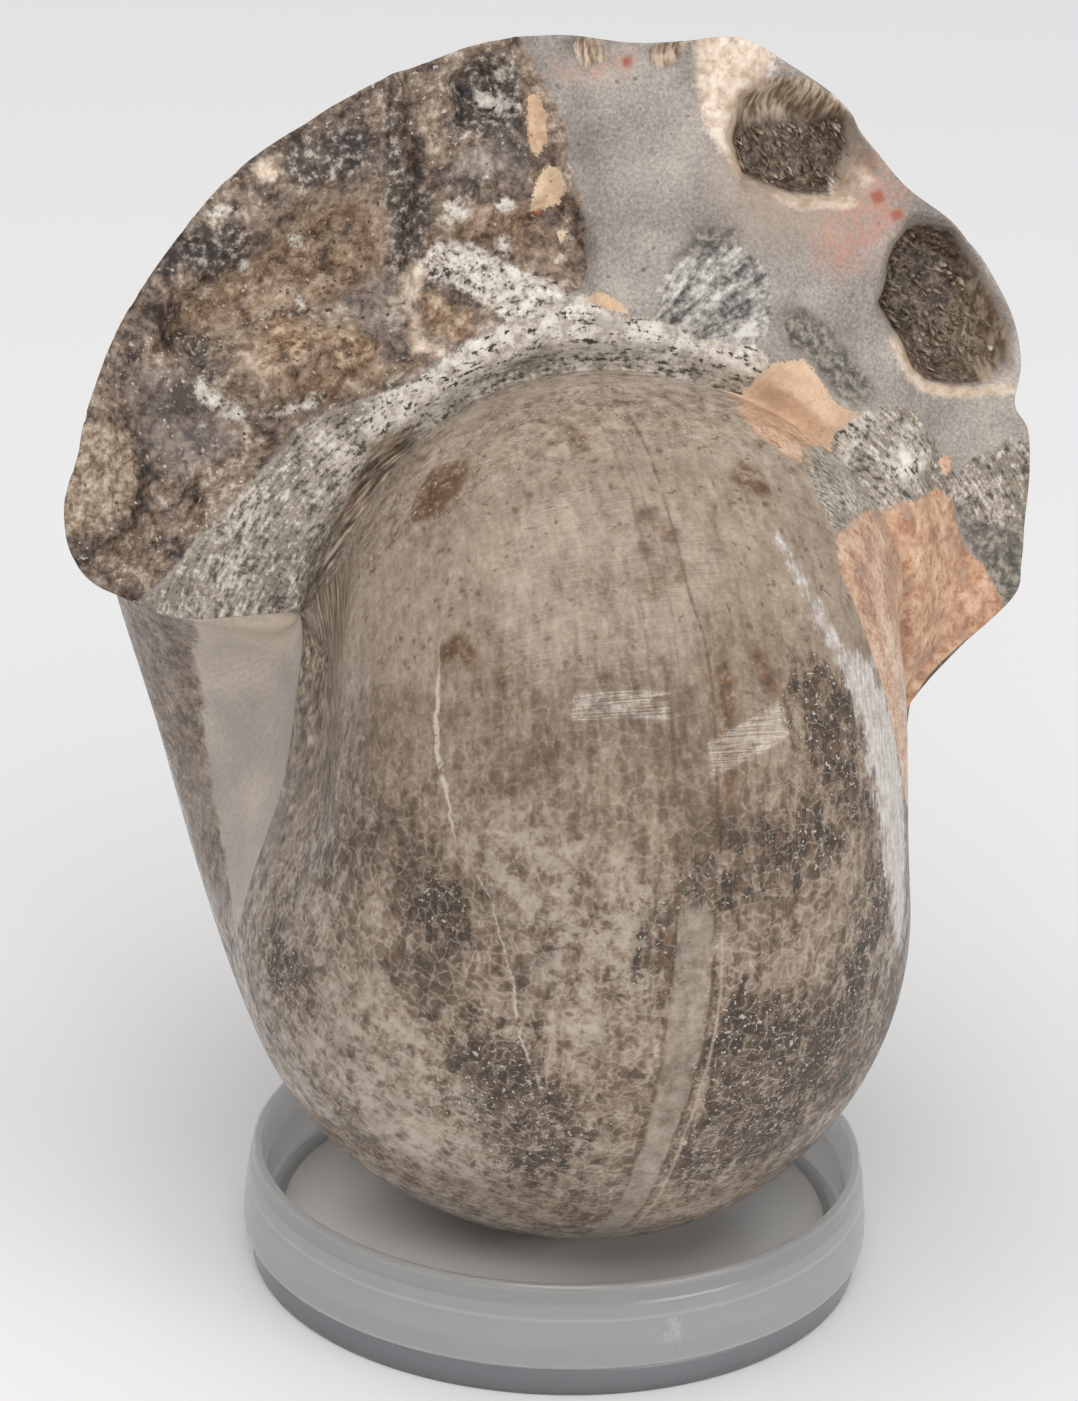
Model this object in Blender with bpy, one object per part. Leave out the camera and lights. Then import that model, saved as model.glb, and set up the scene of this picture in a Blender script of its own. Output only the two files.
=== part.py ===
# A broken and polished fossil ammonite that rests in a shallow clear dish.
#
# The stone is one closed skin. One whorl is carried round the coil's axis, shrinking as it goes,
# from the outline of the broken mouth, over the back and the belly, up the front to the smaller
# whorl that the mouth once covered. The broken face closes the gap between the two.
# Millimetres below are turned into metres by MM. +Z is up and the front faces -Y.

import math

import bmesh
import bpy
import numpy as np

MM = 0.001
GAP = 0.35                      # between the stone and what touches it

# Where the dish stands, so that the whole thing is centred over the origin
STAND_AT = (2.2, -5.6)

# The coil, measured from the middle of the dish's foot
COIL_CENTRE = (2.5, -3.2, 55.6)
COIL_TURN = 14.7                # degrees, the coil's plane turned about the vertical
MOUTH_LEAN = 13.4               # degrees, the broken face leans back

# The whorl's section: a rounded oval, wider than high
MOUTH_RADIUS = 63.8             # from the coil's axis to the outer curve at the mouth
WHORL_RATIO = 1.872             # each whorl is smaller than the next by this much
HALF_WIDTH = 0.698              # of the radius there
WIDEST_AT = 0.34                # of the radius, how far out the whorl is widest
SECTION_POWER = 1.98
INNER_BULGE = 1.266
HUB_SPREAD = 29.0               # degrees about the axis that the filled hub takes

# How far the grown shape strays from the even spiral, at every so many degrees back from the mouth
TRIM_AT = (0, 50, 100, 150, 200, 250, 300, 360)
RADIUS_TRIM = (0.006, -0.002, 0.024, 0.073, 0.000, -0.066, -0.048, -0.014)
LEFT_TRIM = (0.072, 0.038, -0.012, -0.007, 0.091, 0.046, 0.029, 0.021)
RIGHT_TRIM = (-0.075, -0.054, -0.057, -0.060, -0.111, -0.148, -0.054, 0.137)

# Outline of the broken mouth: column, angle about the coil's centre, radius.
# Angles are degrees, 0 to the left, 90 straight up and 180 to the right.
MOUTH_OUTLINE = (
    (0, 24.6, 30.8), (4, 22.6, 33.6), (8, 20.4, 36.8), (12, 18.5, 40.6), (15, 18.3, 43.2),
    (18, 18.7, 46.0), (20.5, 19.4, 49.3), (23, 21.6, 52.2), (26, 25.3, 54.3), (30, 30, 55.3),
    (36, 36, 56.7), (42, 42, 58.3), (50, 50, 59.9), (58, 58, 61.7), (66, 66, 62.4),
    (74, 74, 63.4), (82, 82, 64.3), (88, 88, 64.2), (94.5, 94.5, 63.4), (98, 98, 63.8),
    (103, 103, 65.0), (108, 108, 63.7), (114, 114, 61.7), (118, 118, 59.2), (121, 121, 58.0),
    (128, 128, 57.4), (134, 134, 56.0), (140, 140, 53.8), (142.5, 142.5, 52.2),
    (145, 145, 49.8), (148, 148, 49.5), (152, 152, 47.8), (157, 157, 45.3), (162, 162, 43.4),
    (165, 165.5, 42.0), (167, 167.7, 39.3), (170, 170.3, 35.4), (174, 174.5, 31.9),
    (177, 178.8, 30.1), (180, 184.6, 28.4),
)
OUTLINE_FADE = 10.0             # degrees back from the mouth over which that outline is lost

# Line where the smaller whorl meets the broken face, in the same way
INNER_LINE = (
    (0, 24.6, 30.8), (10, 27.5, 30.3), (20, 32.0, 30.0), (30, 37.5, 30.0), (40, 43.0, 30.3),
    (50, 51.0, 31.2), (60, 60.2, 32.2), (75, 75, 33.2), (90, 90, 33.6), (105, 105, 33.5),
    (120, 120, 33.3), (135, 135, 32.5), (145, 145, 31.5), (155, 155, 29.8), (162, 164.5, 28.2),
    (168, 173.0, 27.4), (174, 180.0, 27.6), (180, 184.6, 28.4),
)
INNER_FADE = 45.0

# Stone fills the corner beside the smaller whorl on the right: column, and how far that line is
# raised from the plane of the break there
SEAM_RISE = ((0, 0), (90, 0), (105, 1.5), (120, 3.5), (135, 6.0), (148, 8.0), (158, 6.5),
             (165, 4.0), (172, 1.2), (180, 0))
SEAM_RISE_BACK = 60.0           # degrees back along the smaller whorl over which the rise is lost
SEAM_RISE_SHARE = 0.6           # share of the way to the rim over which it is lost

# The left hub sinks in beside the smaller whorl: across, forward and up from the coil's centre
HUB_DENT_AT = (-31.0, 6.0, -3.0)
HUB_DENT_DEPTH = 2.6
HUB_DENT_REACH = 9.0

# Relief of the broken face: outlines in millimetres across and out from the coil's centre,
# with how far each stands proud of the face and how softly it starts
FACE_FORMS = {
    "crystal_field": (-2.2, 1.2, (
        (-5.5, 65.5), (-4.5, 57), (-3, 52), (-1, 48), (0, 44.5), (-0.5, 41.5), (-5, 41.5),
        (-10, 38.5), (-17, 35), (-22, 31), (-30, 27.5), (-36, 23), (-41, 17.5), (-43, 13),
        (-52, 15), (-53, 25), (-49, 38), (-41, 50), (-28, 60), (-14, 67))),
    "trough": (-3.6, 2.6, (
        (-38.5, 38), (-37, 41), (-31, 44.5), (-25, 48.5), (-19, 50.5), (-18, 47),
        (-19.5, 42), (-25, 39.5), (-31, 38), (-36, 36))),
    "upper_block": (1.6, 1.4, (
        (-16.5, 66), (-16.2, 52), (-13.5, 46.5), (-8, 46), (-3.5, 49), (-5.5, 58), (-7, 66))),
    "white_shelf": (1.6, 1.8, (
        (-16, 43.5), (-11, 45.5), (-5, 44.5), (-2, 42), (-6, 40), (-12, 38), (-16, 38.5))),
    "lower_ledge": (1.5, 1.3, (
        (-34, 34), (-30, 31.2), (-25, 32), (-22, 34), (-19, 38), (-27, 37.2))),
    "crystal_pit": (-2.4, 1.4, ((-12, 60), (-9.5, 62.2), (-6.8, 60), (-7.5, 57), (-11, 56.6))),
    "left_lump": (2.4, 2.6, (
        (-49.5, 29), (-45, 31), (-42.5, 27), (-42.5, 21), (-45, 18), (-50, 19))),
    "upper_pocket": (-5.2, 1.6, (
        (15.5, 57.5), (14.2, 54), (15.5, 50.5), (19, 49), (25, 49), (26.6, 51),
        (26, 54), (23, 56.5), (19, 58.5))),
    "side_pocket": (-4.8, 1.5, (
        (31.5, 45.5), (29.5, 43), (28.3, 38.5), (30.5, 34.5), (32.5, 31.8), (36.5, 31),
        (39.6, 32), (39.8, 35), (37.8, 39), (36, 43), (33.5, 45))),
    "top_pit": (-1.4, 1.0, ((-1.2, 63), (0.5, 64.2), (2.6, 63.2), (2.4, 61.2), (0.2, 60.8))),
    "dark_pit": (-1.4, 0.9, ((6.4, 62.6), (9.5, 63), (9.6, 61.6), (7, 60.6))),
    "apex_chip": (1.3, 0.9, ((-0.8, 38.6), (0.2, 40.8), (3, 39), (2.2, 38))),
    "orange_patch": (0.7, 0.8, (
        (14.6, 31), (17, 34), (20, 33.7), (21.8, 30.6), (23.6, 29), (22, 27.6), (20.6, 24.6))),
    "orange_fillet": (0.4, 1.6, (
        (24, 15), (26, 19), (29, 21), (33, 21.2), (35, 17), (38.6, 11), (36, 7), (31, 2), (27, 4))),
}
CRACK = ((-17.3, 62), (-17.0, 55), (-16.2, 50), (-17.2, 45), (-17.6, 41))
CRACK_DEPTH = 1.1
CRACK_WIDTH = 1.1
COVE_RISE = 1.8                 # the streaked band swells beside the smaller whorl
COVE_AT = 0.16                  # of the way from the inner line to the rim
COVE_WIDTH = 0.13
FLUSH_SHARE = 0.10              # the relief starts over this share of the way
LUMP_HEIGHT = 0.55              # the broken crystals' lumps
LUMP_EDGE = 3.0                 # they fade out over this width at the field's edge
LUMP_WAVES = ((1.1, 0.6, 0.0), (-0.5, 0.9, 1.3))    # across, out and start of each wave
SMALL_LUMP_WAVE = (2.3, -1.7, 0.0)
SMALL_LUMP_SHARE = 0.5

# Crusts of crystals that line the hollows
CRUSTS = {"upper_pocket_crystals": "upper_pocket",
          "side_pocket_crystals": "side_pocket",
          "left_hollow_crystals": "trough"}
CRUST_INSET = 0.35              # from the hollow's edge
CRUST_EDGE = 0.45               # the crust's thickness under the crystals
CRYSTAL_HEIGHT = 1.9
CRYSTAL_SPREAD = 0.35           # share of the height that varies
CRYSTAL_LEAN = 0.2              # of the way from the crystal's middle to a corner

# The dish
DISH_OUTSIDE = ((0.0, 28.9), (0.4, 29.15), (2.6, 29.2), (2.9, 29.0), (3.2, 29.85), (3.7, 30.0),
                (5.6, 29.95), (9.5, 29.5), (9.8, 29.3), (11.1, 29.2), (11.5, 28.95))  # height, radius
DISH_INSIDE = ((11.55, 28.65), (11.3, 28.4), (8.2, 28.2), (7.9, 27.9), (4.9, 27.6), (4.2, 27.0))
DISH_FLOOR = 4.10               # top of the floor
FLOOR_EDGE = 26.2               # where the floor starts to turn up into the wall
DISH_UNDER = 2.8                # underside of the floor
FOOT_INSIDE = 27.3              # inner radius of the foot ring
FOOT_DRAFT = 0.3
DISH_SIDES = 64

# Fineness of the stone
BODY_ROWS = 46
FACE_ROWS = 19
COLUMNS = 54

COLOURS = {
    "polished_stone": ((0.37, 0.29, 0.23), 0.25),
    "crystals": ((0.20, 0.15, 0.11), 0.35),
    "clear_plastic": ((0.62, 0.63, 0.62), 0.25),
}


def smooth(x):
    x = np.clip(x, 0.0, 1.0)
    return x * x * (3.0 - 2.0 * x)


def curve_through(at, values, x):
    """Smooth curve through the values, flat past the ends, its slopes taken from the neighbours."""
    at = np.asarray(at, float)
    values = np.asarray(values, float)
    slopes = np.gradient(values, at)
    x = np.clip(x, at[0], at[-1])
    i = np.clip(np.searchsorted(at, x, side="right") - 1, 0, len(at) - 2)
    step = at[i + 1] - at[i]
    t = (x - at[i]) / step
    return ((2 * t ** 3 - 3 * t ** 2 + 1) * values[i] + (t ** 3 - 2 * t ** 2 + t) * step * slopes[i]
            + (3 * t ** 2 - 2 * t ** 3) * values[i + 1] + (t ** 3 - t ** 2) * step * slopes[i + 1])


def section_radius(angle, back):
    """Distance from the coil's centre to the whorl's skin.

    angle is in radians about the centre, in the half plane that is back degrees round from the
    mouth. The section is an oval set out from the axis, found by halving the span it lies in.
    """
    even = MOUTH_RADIUS * WHORL_RATIO ** (-back / 360.0)
    outer = even * (1.0 + curve_through(TRIM_AT, RADIUS_TRIM, back))
    left = even * HALF_WIDTH * (1.0 + curve_through(TRIM_AT, LEFT_TRIM, back))
    right = even * HALF_WIDTH * (1.0 + curve_through(TRIM_AT, RIGHT_TRIM, back))
    middle = WIDEST_AT * even
    low = np.zeros_like(angle)
    high = np.full_like(angle, 1.7 * MOUTH_RADIUS)
    for _ in range(26):
        radius = (low + high) / 2
        across = -np.cos(angle) * radius
        out = np.sin(angle) * radius - middle
        half_width = np.where(across > 0, right, left)
        half_height = np.where(out > 0, outer - middle, middle * INNER_BULGE)
        size = (np.abs(across) / half_width) ** SECTION_POWER
        size = size + (np.abs(out) / half_height) ** SECTION_POWER
        low = np.where(size < 1, radius, low)
        high = np.where(size < 1, high, radius)
    return (low + high) / 2


def line_points(line, columns):
    """Points across and out from the centre on a line of (column, angle, radius)."""
    at, angles, radii = np.array(line, float).T
    angle = np.radians(curve_through(at, angles, columns))
    radius = curve_through(at, radii, columns)
    return np.stack([-np.cos(angle) * radius, np.sin(angle) * radius], -1)


def coil_frame():
    """Unit vectors along the coil's axis, forward and up."""
    turn = math.radians(COIL_TURN)
    axis = np.array([math.cos(turn), math.sin(turn), 0.0])
    forward = np.array([math.sin(turn), -math.cos(turn), 0.0])
    return axis, forward, np.array([0.0, 0.0, 1.0])


def outward(back):
    """Unit vectors away from the coil's axis at so many degrees round from the mouth."""
    _, forward, up = coil_frame()
    turn = np.radians(back + MOUTH_LEAN)[..., None]
    return np.cos(turn) * up - np.sin(turn) * forward


def face_normal():
    _, forward, up = coil_frame()
    lean = math.radians(MOUTH_LEAN)
    return math.cos(lean) * forward + math.sin(lean) * up


def centre():
    return np.array([COIL_CENTRE[0] + STAND_AT[0], COIL_CENTRE[1] + STAND_AT[1], COIL_CENTRE[2]])


def face_point(flat):
    """Place points given across and out on the broken face's plane."""
    axis, _, _ = coil_frame()
    return flat[..., :1] * axis + flat[..., 1:] * outward(np.zeros(flat.shape[:-1])) + centre()


def edge_distance(points, outline):
    """Distance of each point to a closed outline, positive inside."""
    corners = np.array(outline, float)
    nearest = np.full(points.shape[:-1], 1e9)
    inside = np.zeros(points.shape[:-1], bool)
    for start, end in zip(corners, np.roll(corners, -1, 0)):
        nearest = np.minimum(nearest, segment_distance(points, start, end))
        crosses = (start[1] > points[..., 1]) != (end[1] > points[..., 1])
        rise = end[1] - start[1] if end[1] != start[1] else 1e-9
        meet = start[0] + (points[..., 1] - start[1]) * (end[0] - start[0]) / rise
        inside ^= crosses & (points[..., 0] < meet)
    return np.where(inside, nearest, -nearest)


def segment_distance(points, start, end):
    run = end - start
    share = np.clip(((points - start) @ run) / (run @ run), 0, 1)
    return np.linalg.norm(points - (start + share[..., None] * run), axis=-1)


def face_relief(flat, share):
    """How far the broken face stands proud of its plane.

    flat holds points across and out; share runs from 0 at the inner line to 1 at the rim.
    """
    relief = np.zeros(flat.shape[:-1])
    for height, softness, outline in FACE_FORMS.values():
        relief += height * smooth(edge_distance(flat, outline) / softness * 0.5 + 0.5)
    corners = np.array(CRACK, float)
    to_crack = [segment_distance(flat, *ends) for ends in zip(corners[:-1], corners[1:])]
    relief -= CRACK_DEPTH * np.exp(-(np.min(to_crack, 0) / CRACK_WIDTH) ** 2)
    broad = wave(flat, LUMP_WAVES[0]) * wave(flat, LUMP_WAVES[1])
    small = wave(flat, SMALL_LUMP_WAVE) * SMALL_LUMP_SHARE
    rough = smooth(edge_distance(flat, FACE_FORMS["crystal_field"][2]) / LUMP_EDGE)
    relief += LUMP_HEIGHT * (broad + small) * rough
    return relief * smooth(share / FLUSH_SHARE)


def wave(flat, wave_form):
    across, out, start = wave_form
    return np.sin(across * flat[..., 0] + out * flat[..., 1] + start)


def body_skin(back, columns):
    """The whorl's outside, as points for each degree back (rows) and column (degrees)."""
    columns, back = np.meshgrid(columns, back)
    angle = np.radians(columns)
    radius = section_radius(angle, back)
    axis, _, _ = coil_frame()
    flat = np.stack([-np.cos(angle) * radius, np.sin(angle) * radius], -1)
    hubs = [line_points(MOUTH_OUTLINE, np.array(float(column))) for column in (0, 180)]
    near = 1.0 - smooth(np.minimum(columns, 180 - columns) / HUB_SPREAD)[..., None]
    hub = np.where(columns[..., None] < 90, face_point(hubs[0]), face_point(hubs[1])) - centre()
    skin = flat[..., :1] * axis + flat[..., 1:] * outward(back)
    skin = skin * (1 - near) + hub * near + centre()
    return skin, columns, back


def place_turned(shift, back):
    """Turn a shift in the mouth's plane round the axis with the whorl."""
    axis, _, _ = coil_frame()
    return shift[..., :1] * axis + shift[..., 1:] * outward(back)


def to_flat(points):
    axis, _, _ = coil_frame()
    away = points - centre()
    return np.stack([away @ axis, away @ outward(np.array(0.0))], -1)


def hub_dent(points):
    """How far the skin is drawn in along the coil's axis beside the left hub."""
    axis, forward, up = coil_frame()
    spot = centre() + HUB_DENT_AT[0] * axis + HUB_DENT_AT[1] * forward + HUB_DENT_AT[2] * up
    distance = np.linalg.norm(points - spot, axis=-1, keepdims=True)
    return HUB_DENT_DEPTH * np.exp(-(distance / HUB_DENT_REACH) ** 2) * axis


def stone_grid():
    """Rows of points round the whole stone: the body's rows, then the broken face's."""
    columns = np.linspace(0.0, 180.0, COLUMNS + 1)
    back = 360.0 * np.linspace(0, 1, BODY_ROWS + 1)
    body, column_grid, back_grid = body_skin(back, columns)
    rim = line_points(MOUTH_OUTLINE, columns)
    inner = line_points(INNER_LINE, columns)
    rim_shift = (rim - to_flat(body[0]))[None].repeat(len(back), 0)
    inner_shift = (inner - to_flat(body[-1]))[None].repeat(len(back), 0)
    rim_part = np.exp(-(back_grid / OUTLINE_FADE) ** 2)[..., None]
    inner_part = smooth(1 - (360 - back_grid) / INNER_FADE)[..., None]
    body = body + place_turned(rim_shift, back_grid) * rim_part
    body = body + place_turned(inner_shift, back_grid) * inner_part
    body = body + hub_dent(body)
    rise = curve_through(*np.array(SEAM_RISE, float).T, columns)
    rise_part = smooth(1 - (360 - back_grid) / SEAM_RISE_BACK)
    body = body + (rise * rise_part)[..., None] * face_normal()
    rim_relief = face_relief(rim, np.ones(len(columns)))[None, :, None]
    body = body + rim_relief * rim_part * face_normal()
    share = np.linspace(0, 1, FACE_ROWS + 2)[1:-1]
    flat = inner[None] + (rim - inner)[None] * share[:, None, None]
    share = share[:, None]
    cove = COVE_RISE * np.exp(-((share - COVE_AT) / COVE_WIDTH) ** 2) * smooth(share / FLUSH_SHARE)
    relief = face_relief(flat, share.repeat(len(columns), 1)) + cove * (1 - rise / rise.max())
    relief = relief + rise * (1 - smooth(share / SEAM_RISE_SHARE))
    face = face_point(flat) + relief[..., None] * face_normal()
    return np.concatenate([body, face]), flat


def grid_triangles(rows, columns):
    """Two triangles for each cell of a grid whose last row joins its first."""
    faces = []
    for row in range(rows):
        below = (row + 1) % rows
        for column in range(columns - 1):
            a, b = (row, column), (row, column + 1)
            c, d = (below, column + 1), (below, column)
            faces += [(a, b, c), (a, c, d)]
    return faces


def new_object(name, points, faces, material):
    mesh = bpy.data.meshes.new(name)
    mesh.from_pydata([tuple(p) for p in np.asarray(points) * MM], [], faces)
    mesh.materials.append(material)
    mesh.validate()
    thing = bpy.data.objects.new(name, mesh)
    bpy.context.scene.collection.objects.link(thing)
    return thing


def new_material(name):
    colour, roughness = COLOURS[name]
    material = bpy.data.materials.new(name)
    material.use_nodes = True
    shader = material.node_tree.nodes["Principled BSDF"]
    shader.inputs["Base Color"].default_value = (*colour, 1.0)
    shader.inputs["Roughness"].default_value = roughness
    shader.inputs["Metallic"].default_value = 0.0
    if name == "clear_plastic":
        shader.inputs["Transmission Weight"].default_value = 0.9
        shader.inputs["IOR"].default_value = 1.49
    return material


def make_stone(grid):
    """The whole skin, its first and last column drawn in to one point each."""
    rows, columns = grid.shape[:2]
    points = [grid[0, 0], grid[0, -1]]
    number = {}
    for row in range(rows):
        number[row, 0] = 0
        number[row, columns - 1] = 1
        for column in range(1, columns - 1):
            number[row, column] = len(points)
            points.append(grid[row, column])
    faces = []
    for corners in grid_triangles(rows, columns):
        face = [number[corner] for corner in corners]
        if len(set(face)) == 3:
            faces.append(face)
    stone = new_object("ammonite", points, faces, new_material("polished_stone"))
    stone.data.shade_smooth()
    stone.data.set_sharp_from_angle(angle=math.radians(35))
    return stone


def make_crust(name, grid, flat, outline, material):
    """A closed crust on the cells of the broken face inside an outline, a crystal point on each."""
    first = BODY_ROWS + 1
    middles = (flat[:-1, :-1] + flat[1:, :-1] + flat[:-1, 1:] + flat[1:, 1:]) / 4
    chosen = edge_distance(middles, outline) > CRUST_INSET
    normal = face_normal()
    points, number, faces = [], {}, []

    def corner(row, column, lift):
        if (row, column, lift) not in number:
            number[row, column, lift] = len(points)
            points.append(grid[first + row, column] + normal * lift)
        return number[row, column, lift]

    top = GAP + CRUST_EDGE
    for row, column in zip(*np.nonzero(chosen)):
        ring = [(row, column), (row, column + 1), (row + 1, column + 1), (row + 1, column)]
        under = [corner(*place, GAP) for place in ring]
        over = [corner(*place, top) for place in ring]
        faces += [(under[2], under[1], under[0]), (under[3], under[2], under[0])]
        height = CRYSTAL_HEIGHT * (1 - CRYSTAL_SPREAD * (1 - math.sin(5.1 * row + 3.7 * column)))
        middle = sum(grid[first + r, c] for r, c in ring) / 4
        toward = grid[first + row + (row + column) % 2, column + column % 2]
        tip = len(points)
        points.append(middle + (toward - middle) * CRYSTAL_LEAN + normal * (top + height))
        faces += [(over[k], over[(k + 1) % 4], tip) for k in range(4)]
        for k, (down, right) in enumerate(((-1, 0), (0, 1), (1, 0), (0, -1))):
            r, c = row + down, column + right
            beside = 0 <= r < chosen.shape[0] and 0 <= c < chosen.shape[1] and chosen[r, c]
            if not beside:
                n = (k + 1) % 4
                faces += [(under[k], under[n], over[n]), (under[k], over[n], over[k])]
    return new_object(name, points, faces, material)


def make_dish():
    """Turn the dish's profile, from the middle of the floor over the wall to the middle below."""
    profile = [(0.0, DISH_FLOOR), (FLOOR_EDGE, DISH_FLOOR)]
    profile += [(radius, height) for height, radius in reversed(DISH_INSIDE)]
    profile += [(radius, height) for height, radius in reversed(DISH_OUTSIDE)]
    profile += [(FOOT_INSIDE, 0.0), (FOOT_INSIDE - FOOT_DRAFT, DISH_UNDER), (0.0, DISH_UNDER)]
    mesh = bpy.data.meshes.new("dish")
    shape = bmesh.new()
    stand = (STAND_AT[0] * MM, STAND_AT[1] * MM, 0.0)
    corners = [shape.verts.new((stand[0] + r * MM, stand[1], z * MM)) for r, z in profile]
    edges = [shape.edges.new(pair) for pair in zip(corners[:-1], corners[1:])]
    bmesh.ops.spin(shape, geom=corners + edges, cent=stand, axis=(0, 0, 1),
                   angle=2 * math.pi, steps=DISH_SIDES, use_merge=True, use_duplicate=False)
    bmesh.ops.remove_doubles(shape, verts=shape.verts, dist=0.00001)
    bmesh.ops.recalc_face_normals(shape, faces=shape.faces)
    shape.to_mesh(mesh)
    shape.free()
    mesh.materials.append(new_material("clear_plastic"))
    mesh.shade_smooth()
    mesh.set_sharp_from_angle(angle=math.radians(30))
    dish = bpy.data.objects.new("dish", mesh)
    bpy.context.scene.collection.objects.link(dish)
    return dish


def main():
    for thing in list(bpy.data.objects):
        bpy.data.objects.remove(thing)
    grid, flat = stone_grid()
    make_stone(grid)
    crystal = new_material("crystals")
    for name, hollow in CRUSTS.items():
        make_crust(name, grid, flat, FACE_FORMS[hollow][2], crystal)
    make_dish()


main()
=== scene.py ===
# Looks of a broken and polished fossil ammonite that rests in a clear dish.
# Lengths below are millimetres until mm turns them into metres.
import math

import bpy
import numpy as np
from mathutils import Matrix, Vector


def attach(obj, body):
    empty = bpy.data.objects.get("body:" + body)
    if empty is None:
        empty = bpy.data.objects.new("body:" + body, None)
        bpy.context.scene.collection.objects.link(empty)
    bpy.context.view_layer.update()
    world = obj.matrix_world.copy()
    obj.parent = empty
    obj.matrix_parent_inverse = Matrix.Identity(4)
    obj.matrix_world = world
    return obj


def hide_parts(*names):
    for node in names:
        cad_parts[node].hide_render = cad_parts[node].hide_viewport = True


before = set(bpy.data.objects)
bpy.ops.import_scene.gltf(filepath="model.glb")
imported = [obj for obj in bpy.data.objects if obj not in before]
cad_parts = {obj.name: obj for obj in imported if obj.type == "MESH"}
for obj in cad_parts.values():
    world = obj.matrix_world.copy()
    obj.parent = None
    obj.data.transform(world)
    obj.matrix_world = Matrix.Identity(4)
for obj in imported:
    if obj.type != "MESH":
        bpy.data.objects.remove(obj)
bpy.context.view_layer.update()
print("frame loaded:", sorted(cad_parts))

mm = 0.001


# Numbers on arrays

def ease(x):
    # 0 below 0, 1 above 1, and 3x^2 - 2x^3 between
    x = np.clip(x, 0.0, 1.0)
    return x * x * (3.0 - 2.0 * x)


def curveThrough(at, values, x):
    # cubic pieces through the values, the slope at each taken from its neighbours
    at = np.asarray(at, float)
    values = np.asarray(values, float)
    slopes = np.gradient(values, at)
    x = np.clip(x, at[0], at[-1])
    i = np.clip(np.searchsorted(at, x, side="right") - 1, 0, len(at) - 2)
    step = at[i + 1] - at[i]
    t = (x - at[i]) / step
    return ((2 * t ** 3 - 3 * t ** 2 + 1) * values[i] + (t ** 3 - 2 * t ** 2 + t) * step * slopes[i]
            + (3 * t ** 2 - 2 * t ** 3) * values[i + 1] + (t ** 3 - t ** 2) * step * slopes[i + 1])


def dice(cell, seed):
    # four even random numbers for each whole-numbered cell: the broken part of a large sine
    mixed = cell[..., 0] * 127.1 + cell[..., 1] * 311.7 + seed * 74.7
    spun = np.sin(mixed[..., None] + np.array((0.0, 1.7, 3.1, 4.9))) * 43758.5453
    return spun - np.floor(spun)


def cloud(flat, size, seed, octaves=3):
    # values on the corners of squares eased between them, from -1 to 1, finer squares at half height
    total = np.zeros(flat.shape[:-1])
    height, most = 1.0, 0.0
    for octave in range(octaves):
        at = flat / size * 2 ** octave
        base = np.floor(at)
        t = ease(at - base)
        corner = [dice(base + (i, j), seed + octave)[..., 0] for j in (0, 1) for i in (0, 1)]
        low = corner[0] * (1 - t[..., 0]) + corner[1] * t[..., 0]
        high = corner[2] * (1 - t[..., 0]) + corner[3] * t[..., 0]
        total += height * (2 * (low * (1 - t[..., 1]) + high * t[..., 1]) - 1)
        most += height
        height *= 0.5
    return total / most


def plates(flat, size, slope, seed):
    # flat tilted plates round jittered middles: height = own step + slope along the way from the middle
    cell = np.floor(flat / size)
    nearest = np.full(flat.shape[:-1], 1e9)
    height = np.zeros(flat.shape[:-1])
    for i in (-1, 0, 1):
        for j in (-1, 0, 1):
            corner = cell + (i, j)
            roll = dice(corner, seed)
            away = flat - (corner + 0.5 + 0.8 * (roll[..., :2] - 0.5)) * size
            distance = (away ** 2).sum(-1)
            turn = roll[..., 2] * 2 * math.pi
            tilt = slope * (away[..., 0] * np.cos(turn) + away[..., 1] * np.sin(turn)) / size
            height = np.where(distance < nearest, roll[..., 3] - 0.5 + tilt, height)
            nearest = np.minimum(nearest, distance)
    return height


def segmentDistance(points, start, end):
    run = end - start
    share = np.clip(((points - start) @ run) / (run @ run), 0, 1)
    return np.linalg.norm(points - (start + share[..., None] * run), axis=-1)


def edgeDistance(points, outline):
    # distance to a closed outline, positive inside
    corners = np.array(outline, float)
    nearest = np.full(points.shape[:-1], 1e9)
    inside = np.zeros(points.shape[:-1], bool)
    for start, end in zip(corners, np.roll(corners, -1, 0)):
        nearest = np.minimum(nearest, segmentDistance(points, start, end))
        crosses = (start[1] > points[..., 1]) != (end[1] > points[..., 1])
        rise = end[1] - start[1] if end[1] != start[1] else 1e-9
        meet = start[0] + (points[..., 1] - start[1]) * (end[0] - start[0]) / rise
        inside ^= crosses & (points[..., 0] < meet)
    return np.where(inside, nearest, -nearest)


# The stone's shape

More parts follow.
